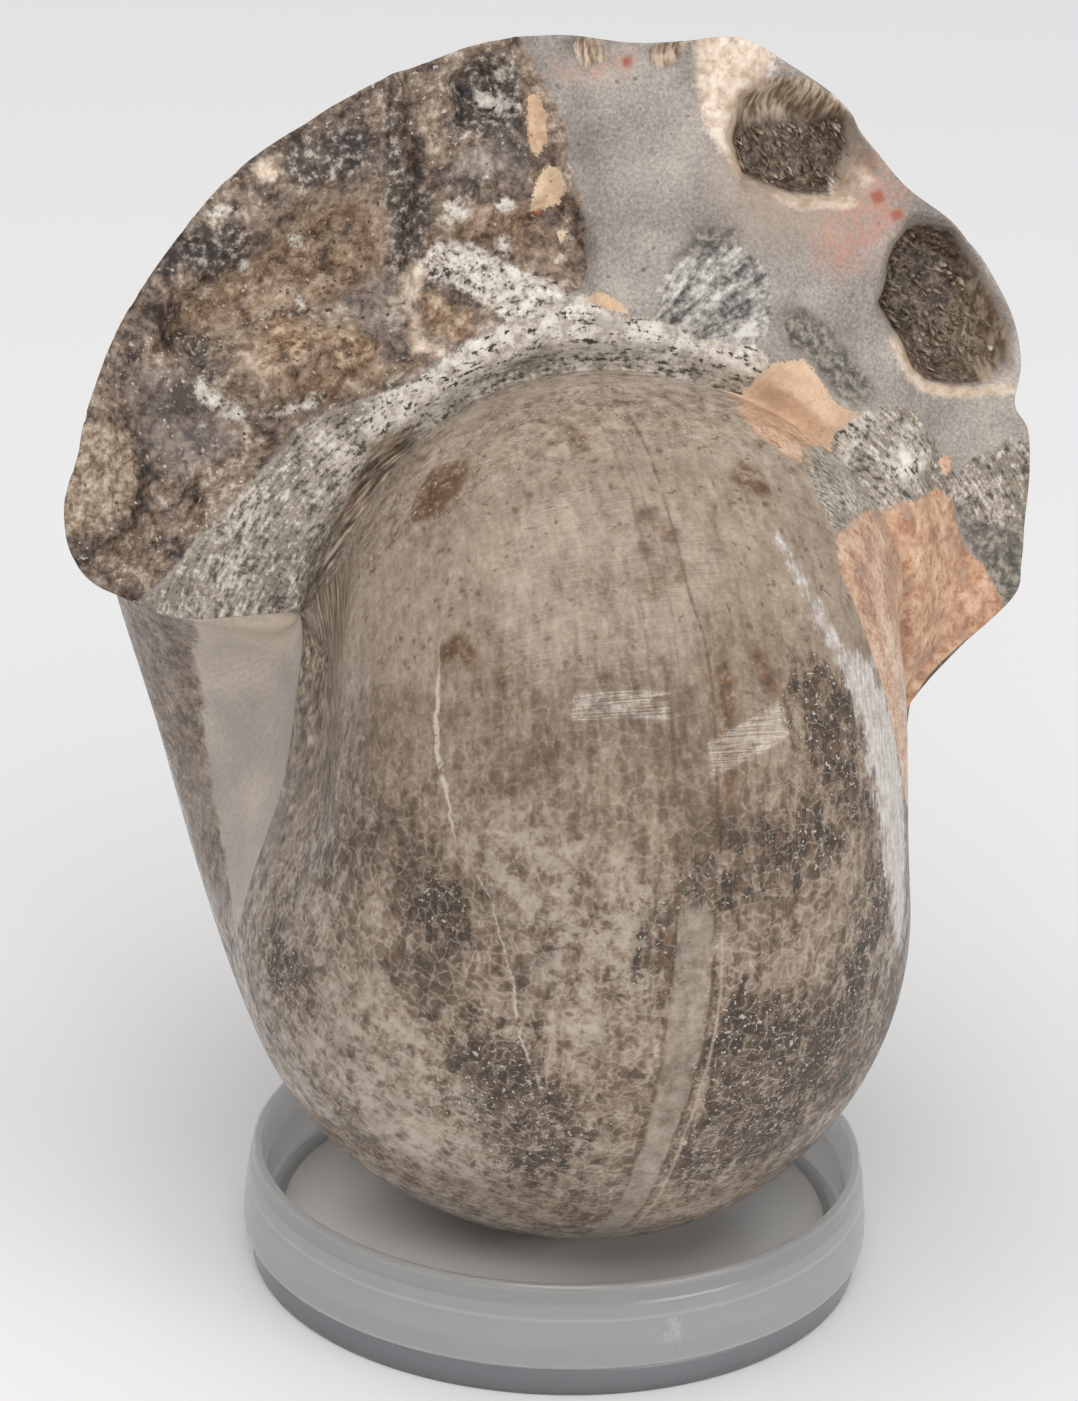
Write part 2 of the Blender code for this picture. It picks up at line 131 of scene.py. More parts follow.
coil = {
    "stand": (2.2, -5.6),               # where the dish's middle is
    "centre": (2.5, -3.2, 55.6),        # the coil's, from the middle of the dish's foot
    "turn": 14.7,                       # degrees about the vertical
    "lean": 13.4,                       # degrees that the broken face leans back
    "mouthRadius": 63.8, "whorlRatio": 1.872,
    "halfWidth": 0.698, "widestAt": 0.34, "power": 1.98, "innerBulge": 1.266,
    "hubSpread": 29.0,
    "trimAt": (0, 50, 100, 150, 200, 250, 300, 360),    # degrees back from the mouth
    "radiusTrim": (0.006, -0.002, 0.024, 0.073, 0.000, -0.066, -0.048, -0.014),
    "leftTrim": (0.072, 0.038, -0.012, -0.007, 0.091, 0.046, 0.029, 0.021),
    "rightTrim": (-0.075, -0.054, -0.057, -0.060, -0.111, -0.148, -0.054, 0.137),
    "outline": (                        # of the broken mouth: column, angle, radius
        (0, 24.6, 30.8), (4, 22.6, 33.6), (8, 20.4, 36.8), (12, 18.5, 40.6), (15, 18.3, 43.2),
        (18, 18.7, 46.0), (20.5, 19.4, 49.3), (23, 21.6, 52.2), (26, 25.3, 54.3), (30, 30, 55.3),
        (36, 36, 56.7), (42, 42, 58.3), (50, 50, 59.9), (58, 58, 61.7), (66, 66, 62.4),
        (74, 74, 63.4), (82, 82, 64.3), (88, 88, 64.2), (94.5, 94.5, 63.4), (98, 98, 63.8),
        (103, 103, 65.0), (108, 108, 63.7), (114, 114, 61.7), (118, 118, 59.2), (121, 121, 58.0),
        (128, 128, 57.4), (134, 134, 56.0), (140, 140, 53.8), (142.5, 142.5, 52.2),
        (145, 145, 49.8), (148, 148, 49.5), (152, 152, 47.8), (157, 157, 45.3), (162, 162, 43.4),
        (165, 165.5, 42.0), (167, 167.7, 39.3), (170, 170.3, 35.4), (174, 174.5, 31.9),
        (177, 178.8, 30.1), (180, 184.6, 28.4)),
    "outlineFade": 10.0,
    "innerLine": (                      # where the smaller whorl meets the broken face
        (0, 24.6, 30.8), (10, 27.5, 30.3), (20, 32.0, 30.0), (30, 37.5, 30.0), (40, 43.0, 30.3),
        (50, 51.0, 31.2), (60, 60.2, 32.2), (75, 75, 33.2), (90, 90, 33.6), (105, 105, 33.5),
        (120, 120, 33.3), (135, 135, 32.5), (145, 145, 31.5), (155, 155, 29.8),
        (162, 164.5, 28.2), (168, 173.0, 27.4), (174, 180.0, 27.6), (180, 184.6, 28.4)),
    "innerFade": 45.0,
    "seamRise": (                       # column, and how far that line stands off the face's plane
        (0, 0), (90, 0), (105, 1.5), (120, 3.5), (135, 6.0), (148, 8.0), (158, 6.5), (165, 4.0),
        (172, 1.2), (180, 0)),
    "seamRiseBack": 60.0, "seamRiseShare": 0.6,
    "dentAt": (-31.0, 6.0, -3.0), "dentDepth": 2.6, "dentReach": 9.0,
    "farthest": 1.7, "halvings": 26,    # search for the section's edge: reach in mouth radii, and steps
    "columns": 400,
    "bodyRows": ((0, 185, 38), (185, 350, 84), (350, 360, 8)),     # from, to and steps of degrees back
    "faceRows": 109,
}

# Relief of the broken face: height over it, softness of the edge and outline, across and out
# from the coil's centre
faceForms = {
    "crystalField": (-2.2, 1.2, (
        (-5.5, 65.5), (-4.5, 57), (-3, 52), (-1, 48), (0, 44.5), (-0.5, 41.5), (-5, 41.5),
        (-10, 38.5), (-17, 35), (-22, 31), (-30, 27.5), (-36, 23), (-41, 17.5), (-43, 13),
        (-52, 15), (-53, 25), (-49, 38), (-41, 50), (-28, 60), (-14, 67))),
    "trough": (-3.6, 2.6, (
        (-38.5, 38), (-37, 41), (-31, 44.5), (-25, 48.5), (-19, 50.5), (-18, 47),
        (-19.5, 42), (-25, 39.5), (-31, 38), (-36, 36))),
    "upperBlock": (1.6, 1.4, (
        (-16.5, 66), (-16.2, 52), (-13.5, 46.5), (-8, 46), (-3.5, 49), (-5.5, 58), (-7, 66))),
    "whiteShelf": (1.6, 1.8, (
        (-16, 43.5), (-11, 45.5), (-5, 44.5), (-2, 42), (-6, 40), (-12, 38), (-16, 38.5))),
    "lowerLedge": (1.5, 1.3, (
        (-34, 34), (-30, 31.2), (-25, 32), (-22, 34), (-19, 38), (-27, 37.2))),
    "crystalPit": (-2.4, 1.4, ((-12, 60), (-9.5, 62.2), (-6.8, 60), (-7.5, 57), (-11, 56.6))),
    "leftLump": (2.4, 2.6, (
        (-49.5, 29), (-45, 31), (-42.5, 27), (-42.5, 21), (-45, 18), (-50, 19))),
    "upperPocket": (-5.2, 1.6, (
        (15.5, 57.5), (14.2, 54), (15.5, 50.5), (19, 49), (25, 49), (26.6, 51),
        (26, 54), (23, 56.5), (19, 58.5))),
    "sidePocket": (-4.8, 1.5, (
        (31.5, 45.5), (29.5, 43), (28.3, 38.5), (30.5, 34.5), (32.5, 31.8), (36.5, 31),
        (39.6, 32), (39.8, 35), (37.8, 39), (36, 43), (33.5, 45))),
    "topPit": (-1.4, 1.0, ((-1.2, 63), (0.5, 64.2), (2.6, 63.2), (2.4, 61.2), (0.2, 60.8))),
    "darkPit": (-1.4, 0.9, ((6.4, 62.6), (9.5, 63), (9.6, 61.6), (7, 60.6))),
    "apexChip": (1.3, 0.9, ((-0.8, 38.6), (0.2, 40.8), (3, 39), (2.2, 38))),
    "orangePatch": (0.7, 0.8, (
        (14.6, 31), (17, 34), (20, 33.7), (21.8, 30.6), (23.6, 29), (22, 27.6), (20.6, 24.6))),
    "orangeFillet": (0.4, 1.6, (
        (24, 15), (26, 19), (29, 21), (33, 21.2), (35, 17), (38.6, 11), (36, 7), (31, 2), (27, 4))),
}
faceGrain = {
    "crack": ((-17.3, 62), (-17.0, 55), (-16.2, 50), (-17.2, 45), (-17.6, 41)),
    "crackDepth": 1.0, "crackWidth": 0.8,
    "coveRise": 1.8, "coveAt": 0.16, "coveWidth": 0.13,
    "flushShare": 0.10, "roughEdge": 1.2,
    # height, size and seed
    "wander": ((0.45, 1.9, 11), (0.45, 1.9, 23)),       # of the forms' edges, across and out
    "lumps": (0.8, 5.0, 31), "plain": (0.05, 1.1, 51),
    # height, size, slope and seed
    "plates": ((0.36, 2.1, 1.1, 3), (0.10, 0.85, 1.3, 7)),
}


def coilFrame():
    # unit vectors along the coil's axis, forward and up
    turn = math.radians(coil["turn"])
    axis = np.array([math.cos(turn), math.sin(turn), 0.0])
    forward = np.array([math.sin(turn), -math.cos(turn), 0.0])
    return axis, forward, np.array([0.0, 0.0, 1.0])


axis, forward, up = coilFrame()
lean = math.radians(coil["lean"])
faceNormal = math.cos(lean) * forward + math.sin(lean) * up
centre = np.array(coil["centre"]) + (*coil["stand"], 0.0)


def outward(back):
    turn = np.radians(back + coil["lean"])[..., None]
    return np.cos(turn) * up - np.sin(turn) * forward


def turned(shift, back):
    # a shift in the mouth's plane, across and out, turned round the axis with the whorl
    return shift[..., :1] * axis + shift[..., 1:] * outward(back)


def onFace(flat):
    # flat points, across and out, on the plane of the broken face
    return turned(flat, np.zeros(flat.shape[:-1])) + centre


def toFlat(points):
    away = points - centre
    return np.stack([away @ axis, away @ outward(np.array(0.0))], -1)


def swung(angle, radius):
    # across and out of places at those angles, from the left round over the top
    return np.stack([-np.cos(angle) * radius, np.sin(angle) * radius], -1)


def sectionRadius(angle, back):
    # where a ray from the centre leaves an oval set out from the axis, found by halving its span
    even = coil["mouthRadius"] * coil["whorlRatio"] ** (-back / 360.0)
    outer, left, right = [
        even * share * (1.0 + curveThrough(coil["trimAt"], coil[trim], back)) for share, trim in (
            (1.0, "radiusTrim"), (coil["halfWidth"], "leftTrim"), (coil["halfWidth"], "rightTrim"))]
    middle = coil["widestAt"] * even
    low = np.zeros_like(angle)
    high = np.full_like(angle, coil["farthest"] * coil["mouthRadius"])
    for _ in range(coil["halvings"]):
        radius = (low + high) / 2
        across, out = np.moveaxis(swung(angle, radius), -1, 0)
        out = out - middle
        halfWidth = np.where(across > 0, right, left)
        halfHeight = np.where(out > 0, outer - middle, middle * coil["innerBulge"])
        size = (np.abs(across) / halfWidth) ** coil["power"] + (np.abs(out) / halfHeight) ** coil["power"]
        low = np.where(size < 1, radius, low)
        high = np.where(size < 1, high, radius)
    return (low + high) / 2


def linePoints(line, columns):
    at, angles, radii = np.array(line, float).T
    return swung(np.radians(curveThrough(at, angles, columns)), curveThrough(at, radii, columns))


def faceRelief(flat, share):
    # height over the face: soft-edged forms, a crack, and on the crystal field clouds, tilted
    # plates and small chips
    g = faceGrain
    moved = flat + np.stack([height * cloud(flat, size, seed) for height, size, seed in g["wander"]], -1)
    relief = np.zeros(flat.shape[:-1])
    for height, softness, outline in faceForms.values():
        relief += height * ease(edgeDistance(moved, outline) / softness * 0.5 + 0.5)
    corners = np.array(g["crack"], float)
    toCrack = [segmentDistance(moved, *ends) for ends in zip(corners[:-1], corners[1:])]
    relief -= g["crackDepth"] * np.exp(-(np.min(toCrack, 0) / g["crackWidth"]) ** 2)
    rough = ease(edgeDistance(moved, faceForms["crystalField"][2]) / g["roughEdge"])
    for (height, size, seed), where in ((g["lumps"], rough), (g["plain"], 1 - rough)):
        relief += height * cloud(flat, size, seed) * where
    for height, size, slope, seed in g["plates"]:
        relief += height * plates(moved, size, slope, seed) * rough
    return relief * ease(share / g["flushShare"])


def stoneSkin():
    # rows round the whole stone: back from the mouth over the whorl to the smaller one, then out
    # across the broken face. Returns points, the whorl's columns and degrees back, and flat places
    columns = np.linspace(0.0, 180.0, coil["columns"] + 1)
    spans = [np.linspace(start, end, steps, endpoint=False) for start, end, steps in coil["bodyRows"]]
    backs = np.concatenate(spans + [[360.0]])
    column, back = np.meshgrid(columns, backs)
    angle = np.radians(column)
    flat = swung(angle, sectionRadius(angle, back))
    body = turned(flat, back)
    hubs = [onFace(linePoints(coil["outline"], np.array(float(end)))) - centre for end in (0, 180)]
    near = 1.0 - ease(np.minimum(column, 180 - column) / coil["hubSpread"])[..., None]
    body = body * (1 - near) + np.where(column[..., None] < 90, hubs[0], hubs[1]) * near + centre
    rim = linePoints(coil["outline"], columns)
    inner = linePoints(coil["innerLine"], columns)
    rimPart = np.exp(-(back / coil["outlineFade"]) ** 2)[..., None]
    innerPart = ease(1 - (360 - back) / coil["innerFade"])[..., None]
    body = body + turned(np.broadcast_to(rim - toFlat(body[0]), flat.shape), back) * rimPart
    body = body + turned(np.broadcast_to(inner - toFlat(body[-1]), flat.shape), back) * innerPart
    dent = centre + coil["dentAt"][0] * axis + coil["dentAt"][1] * forward + coil["dentAt"][2] * up
    toDent = np.linalg.norm(body - dent, axis=-1, keepdims=True)
    body = body + coil["dentDepth"] * np.exp(-(toDent / coil["dentReach"]) ** 2) * axis
    rise = curveThrough(*np.array(coil["seamRise"], float).T, columns)
    risePart = ease(1 - (360 - back) / coil["seamRiseBack"])
    body = body + (rise * risePart)[..., None] * faceNormal
    rimRelief = faceRelief(rim, np.ones(len(columns)))[None, :, None]
    body = body + rimRelief * rimPart * faceNormal
    share = np.linspace(0, 1, coil["faceRows"] + 2)[1:-1]
    faceFlat = inner[None] + (rim - inner)[None] * share[:, None, None]
    share = share[:, None]
    g = faceGrain
    cove = g["coveRise"] * np.exp(-((share - g["coveAt"]) / g["coveWidth"]) ** 2)
    cove *= ease(share / g["flushShare"])
    relief = faceRelief(faceFlat, np.repeat(share, len(columns), 1)) + cove * (1 - rise / rise.max())
    relief = relief + rise * (1 - ease(share / coil["seamRiseShare"]))
    face = onFace(faceFlat) + relief[..., None] * faceNormal
    elsewhere = np.zeros((len(backs) - 2,) + rim.shape)
    return {
        "points": np.concatenate([body, face]),
        "bodyRows": len(backs),
        "sheet": np.stack([column, back], -1),
        "flat": np.concatenate([rim[None], elsewhere, inner[None], faceFlat]),
    }


# Meshes

def faceSizes(faces):
    # how many corners each face has
    return np.concatenate([np.full(len(table), table.shape[1]) for table in faces])


def newPiece(name, points, faces, materials, node, places=None):
    # points are millimetres; faces is a list of tables with one face's corners to a row. places
    # says which material each face has, and makes them all smooth
    loops = np.concatenate([table.ravel() for table in faces])
    sizes = faceSizes(faces)
    mesh = bpy.data.meshes.new(name)
    mesh.vertices.add(len(points))
    mesh.vertices.foreach_set("co", (np.asarray(points) * mm).ravel())
    mesh.loops.add(len(loops))
    mesh.loops.foreach_set("vertex_index", loops)
    mesh.polygons.add(len(sizes))
    mesh.polygons.foreach_set("loop_start", np.cumsum(sizes) - sizes)
    mesh.update(calc_edges=True)
    mesh.validate()
    for material in materials:
        mesh.materials.append(material)
    if places is not None:
        mesh.polygons.foreach_set("material_index", places.astype(np.int32))
        mesh.polygons.foreach_set("use_smooth", np.ones(len(sizes), bool))
    piece = bpy.data.objects.new(name, mesh)
    bpy.context.scene.collection.objects.link(piece)
    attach(piece, "root")
    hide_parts(node)
    return mesh


def keep(mesh, name, values):
    # a number for each point, for the materials to read
    values = np.asarray(values, np.float32).ravel()
    mesh.attributes.new(name, "FLOAT", "POINT").data.foreach_set("value", values)


# Coloured zones of the stone, each a list of shapes, and a shape its corners: on the broken face,
# across and out in millimetres, and on the whorl, column and back in degrees
faceZones = {
    "field": [((-6.4, 68), (-6, 64), (-4, 60.5), (-3, 58), (-1.7, 55), (-1.3, 51), (-0.5, 48.5), (-0.1, 46),
        (0, 43), (-0.8, 41), (-4, 40), (-10, 37.6), (-15.4, 34.8), (-18, 33), (-23.6, 31), (-27.7, 29.2),
        (-30.2, 26.6), (-33, 23.7), (-37.1, 20.2), (-40.6, 16.2), (-43, 14.2), (-54, 11), (-56, 28),
        (-50, 42), (-38, 56), (-24, 66))],
    "golden": [((-38, 38.6), (-36, 41.5), (-30.6, 44.6), (-25.4, 48.2), (-20, 50.2), (-18.2, 49),
        (-18.3, 45), (-20, 42), (-24, 40.4), (-28.3, 39.8), (-33, 38)), ((-31, 38.5), (-27, 39.2),
        (-22, 38.5), (-19, 36.5), (-19, 33.5), (-24, 32.2), (-29, 32.6), (-32, 35.5)), ((-13.8, 48),
        (-10, 49), (-5.4, 48.6), (-2.4, 46), (-1.6, 42.6), (-4, 43.5), (-8, 45.5), (-12, 45.6))],
    "tan": [((-50, 30.4), (-45, 31.2), (-42.6, 29.6), (-42.2, 26), (-43.4, 23), (-45, 21.8), (-50.5, 20.6)),
        ((-29, 46.6), (-26, 48.8), (-20, 51), (-18.2, 52.4), (-18.4, 51), (-20.4, 49.6), (-25.6, 47.2)),
        ((-5.6, 62), (-4.2, 62.4), (-2.4, 57.6), (-2.8, 55), (-4, 58)), ((-15.8, 58), (-13.4, 58.4),
        (-13, 53), (-14.4, 52.4))],
    "lilac": [((-42.5, 35), (-37, 36), (-33.5, 31), (-33, 27.5), (-38, 25.8), (-42, 28)), ((-33, 45.6),
        (-29.6, 46.4), (-25.4, 49.4), (-20.4, 51.8), (-18, 54.5), (-17.8, 51), (-21, 50), (-25.6, 47.6),
        (-30, 44.2)), ((-22, 41.5), (-18, 43), (-17.6, 37), (-20.5, 36)), ((-13, 52), (-8, 56), (-5, 55),
        (-6, 51.5))],
    # black: partly dark stone, partly painted shade along the crack, in the small pit and in crevices round
    # the upper block and the trough
    "black": [((-18, 52.2), (-15.6, 51.6), (-14, 49.6), (-14.8, 46.8), (-16.4, 43.4), (-18.2, 42.6),
        (-17.4, 46.4), (-18, 49)), ((-12.8, 50.8), (-12, 51.8), (-9.6, 51.4), (-10.4, 49.8)), ((-12.2, 56),
        (-12, 60.6), (-9.4, 62.4), (-6.2, 62), (-5.4, 59.4), (-6.4, 56.6), (-9, 54.8)), ((-18.1, 61),
        (-17, 61.4), (-16.8, 52), (-18.2, 52)), ((-36.5, 47.8), (-33, 48.6), (-30.8, 47.2), (-31.8, 44.6),
        (-34.4, 42.6), (-37, 44.6)), ((-28, 53.6), (-24, 56.4), (-19.6, 56.4), (-19.4, 53), (-22, 51.6),
        (-26, 51.2)), ((-20.4, 33), (-19, 33.8), (-17.4, 33), (-18.8, 32.2)), ((-37.2, 37.8), (-35.8, 38.4),
        (-34.6, 36.8), (-36, 35.6)), ((-3, 36.6), (-5.9, 35.4), (-9, 34.2), (-13, 31.8), (-12.6, 31.2),
        (-8.8, 33.2), (-5, 34.8), (-3, 35.8)), ((-22.6, 27.6), (-21.2, 26.4), (-24.4, 21), (-26.6, 14),
        (-28.6, 11), (-29.4, 13.6), (-26.6, 20.6))],
    "amber": [((-16, 41), (-15, 38), (-13, 36.8), (-11, 37.4), (-10.8, 40), (-12.4, 39.6), (-14, 41.4)),
        ((-29.4, 39), (-27.6, 39.4), (-26, 36.8), (-27.4, 35.8)), ((-24.4, 37.4), (-22.4, 37.6),
        (-19.4, 36.4), (-20.6, 34.8), (-23.4, 35.6)), ((-1.2, 38.4), (0.4, 39.4), (1.4, 38.2),
        (0.4, 37.2))],
    "white": [((-15.6, 43.6), (-13.8, 45.6), (-10.2, 45.2), (-7, 43.4), (-3.6, 41.6), (-1.2, 40.4),
        (-4, 38.8), (-8, 38.4), (-9.6, 39.6), (-11, 41.2), (-13.4, 42)), ((-13.9, 47.9), (-13, 49.6),
        (-11.2, 49.4), (-10.6, 48), (-12.2, 47.4)), ((-8.8, 48.7), (-8.2, 49.5), (-6.8, 49.4),
        (-6.8, 48.8)), ((-8.3, 45), (-7.7, 45.8), (-7, 45.4), (-7.5, 44.7)), ((-2.3, 45.6), (-1.8, 46.2),
        (-1.4, 45.7), (-1.8, 45.3)), ((-2.5, 43.8), (-2, 44.5), (-1.6, 43.9)), ((-9.6, 57.6), (-9, 59),
        (-6.4, 58.6), (-6, 57.8), (-7.6, 57.4)), ((-8.6, 60.4), (-8, 61.6), (-6.4, 61.2), (-6.9, 60.2)),
        ((-37, 32.8), (-36, 34), (-34.8, 33.4), (-33.4, 32), (-31.6, 31), (-31.8, 30.2), (-34, 31.2),
        (-35.4, 32.4)), ((-34.6, 49.2), (-33.6, 50.2), (-32.2, 49.6), (-33.2, 48.7)), ((-32.2, 43.9),
        (-31.4, 44.8), (-30.5, 44.2), (-31.2, 43.5)), ((-27, 46), (-26.4, 47.1), (-25.5, 46.6),
        (-25.8, 45.8)), ((-26.9, 41.2), (-26.3, 41.4), (-25.4, 39.8), (-26, 39.6)), ((16.4, 62.4),
        (17.4, 61.8), (17.4, 59.8), (16.8, 58.2), (18, 58.6), (18.4, 60.8), (17.6, 62.8)), ((21.4, 56.8),
        (22.2, 58.4), (24.4, 57.6), (25.6, 56.2), (24.2, 56), (22.6, 56.2)), ((19.6, 48.7), (20.4, 49.5),
        (23.4, 49.4), (24.6, 50.4), (24.8, 49.2), (23.4, 48.2)), ((-30.4, 30.9), (-28, 31.6), (-24.8, 32.8),
        (-25.6, 31.4), (-28.6, 30.3))],
    "pepper": [((2, 38.6), (-1.2, 40.4), (-4.2, 39.4), (-9, 38), (-11.8, 36.8), (-15.4, 34.5),
        (-17.7, 32.9), (-22, 31.6), (-26.4, 29.8), (-29.2, 27.3), (-32.2, 24.4), (-36.4, 20.5),
        (-39.8, 16.4), (-42.2, 14.6), (-43, 10), (-20, 8), (-14, 24), (0, 31), (12, 28), (14.6, 30.6),
        (16.2, 33.6), (15.5, 35), (11, 36.8), (6, 38.2)), ((21.4, 27), (22.4, 28.4), (24.4, 28.8),
        (27, 29.2), (30.6, 28.6), (32.2, 26), (33, 24), (35.2, 22.2), (36.2, 23.2), (38.6, 24.2),
        (41, 25.4), (43, 24), (43, 18), (39.5, 16.8), (37, 17.6), (34.9, 19.6), (31, 21.2), (27, 20.5),
        (23, 17), (20, 20))],
    "fan": [((5.6, 38.4), (6.2, 41), (8, 43), (10.6, 44.4), (13.6, 44.8), (15.4, 43.6), (16.6, 41.6),
        (16.9, 38.6), (16, 36.4), (13, 35.4), (9, 36.6))],
    "bright": [((-19, 32.4), (-15, 35), (-11, 38), (-4, 40.4), (-0.6, 40.8), (3, 38.6), (9, 37.4),
        (15, 35.4), (14.6, 33), (9, 34.4), (1.4, 36), (-4, 36.4), (-9, 34.2), (-14.6, 31.2), (-19.4, 28.2),
        (-21.6, 29)), ((26, 24), (29, 26), (31.5, 24), (29, 22))],
    "orange": [((13.4, 30.6), (14.3, 31.9), (16.2, 33.8), (19.3, 34), (20.7, 31.9), (22, 29.7),
        (24.2, 28.9), (22.9, 28), (21.5, 27.2), (21.2, 25.2), (19.5, 20), (17, 26)), ((22, 15),
        (24.6, 18.6), (25.4, 19.9), (27.3, 20.8), (29.6, 20.6), (32.3, 21.3), (34.3, 19.9), (34.6, 17.7),
        (35.4, 15.5), (37.3, 13.6), (38.6, 11.3), (39.6, 9.6), (38, 6), (31, 0), (22, -4)), ((32.9, 23.4),
        (33.5, 24.1), (34.6, 23.7), (34.4, 22.7), (33.7, 22.1)), ((-0.8, 40.2), (0.6, 41), (2.4, 39.8),
        (3.2, 38.5), (1.4, 39.2)), ((-5.2, 48.3), (-5, 50), (-4.3, 51.2), (-3.2, 52.6), (-2.3, 51.6),
        (-1.8, 50.4), (-2.2, 48.8), (-4.2, 48)), ((-2.4, 46.2), (-1.6, 46.4), (-1.6, 45.4), (-2.2, 45.2)),
        ((-5.2, 58.6), (-4.2, 59.2), (-3.6, 57), (-3.4, 54.5), (-4.4, 53), (-5.2, 54.5))],
    "cream": [((10.7, 64), (10.4, 60), (11, 56.6), (12.7, 53.2), (14.4, 50.6), (15.6, 50.8), (15.2, 53.4),
        (15.4, 55.6), (16.8, 57.6), (17, 60), (17.6, 61.4), (16.8, 63.4), (14, 66), (11, 66)),
        ((18.4, 58.2), (19.6, 59.4), (20.8, 58.4), (20, 56.6), (18.8, 56.8)), ((16, 49.8), (19, 49),
        (24, 48.4), (26, 50.4), (26.4, 53), (27, 50), (25, 47.4), (19, 47.8)), ((28.5, 34.8), (30, 35.4),
        (31, 32), (33, 30.8), (37, 30.2), (40.5, 30.8), (41, 29.4), (34, 29.4), (30.4, 31)), ((-30.5, 53),
        (-28.6, 54), (-28, 52.5), (-29.6, 51.8)), ((-17, 42.4), (-16, 44.2), (-15, 43), (-16.2, 40),
        (-15.6, 37), (-13, 35.6), (-16.4, 36)), ((0.4, 62), (0.8, 63.6), (1.8, 63.2), (1.4, 61.8))],
    # hollows: the pockets and pits, painted dark, partly dark druse and partly painted shade
    "hollow": [((14.8, 54.1), (15.4, 57.6), (17.6, 59.6), (21, 59.4), (24.8, 56.8), (25.8, 53),
        (24.8, 49.8), (23.4, 48.6), (20.1, 48.8), (17.9, 49.7), (15.6, 50.8)), ((32.3, 45.6), (30.2, 43.6),
        (29.4, 41.3), (28.4, 39.1), (28.8, 37.2), (30.2, 35.2), (30.7, 32.4), (32.3, 31.1), (35.1, 30.4),
        (38.4, 30.6), (40.2, 32.4), (40.4, 35.2), (38.6, 39.1), (37, 41.9), (35.1, 45)), ((-1, 62.8),
        (0, 64), (2, 63.4), (2.4, 61.8), (0.4, 61)), ((6.4, 62.6), (7.6, 63.6), (9.8, 63.2), (9.4, 61.8),
        (7.6, 60.8), (6.4, 61.2))],
    "red": [((21.5, 42), (21.5, 46), (24.5, 49), (27, 52.4), (28.5, 53.5), (31, 49), (30.5, 46),
        (27.5, 42.4), (24, 40.8)), ((-3.5, 62), (0, 60.8), (4.6, 62.5), (4.4, 60.8), (0.6, 59.8),
        (-3, 60.9))],
    "spots": [((26.9, 48.6), (28, 49), (28.4, 48), (27.4, 47.5)), ((28.8, 46.8), (29.8, 47.2), (30.2, 46.4),
        (29.2, 46)), ((3.5, 61.8), (4.4, 62.2), (4.5, 61.2), (3.8, 61)), ((-4.8, 48.2), (-3.6, 48.6),
        (-3.8, 47.9), (-4.9, 47.8))],
    "slate": [((31.2, 8.2), (31.4, 9.6), (32.4, 9.3), (33.2, 9.9), (33.4, 8.4), (32.8, 7.4), (31.4, 7.5)),
        ((32.2, 22.6), (34.4, 21.8), (36.4, 19.6), (39.5, 17.4), (43, 18), (43, 8.6), (39.6, 9.2),
        (38.6, 11.6), (37.3, 13.8), (35.4, 15.8), (34.6, 18), (34.3, 20.2)), ((17.5, 36), (18.5, 39),
        (22, 37), (25.2, 33), (26.4, 30), (24, 29.4), (21.6, 31), (20, 34.2)), ((7.6, 43.4), (10.6, 46.4),
        (14, 46), (14, 44.4), (10, 44))],
    "stripes": [((-20.4, 28.4), (-22.4, 24.4), (-25, 18.6), (-27.6, 12.8), (-30, 8), (-20, 6), (-14, 24),
        (-17, 29))],
}
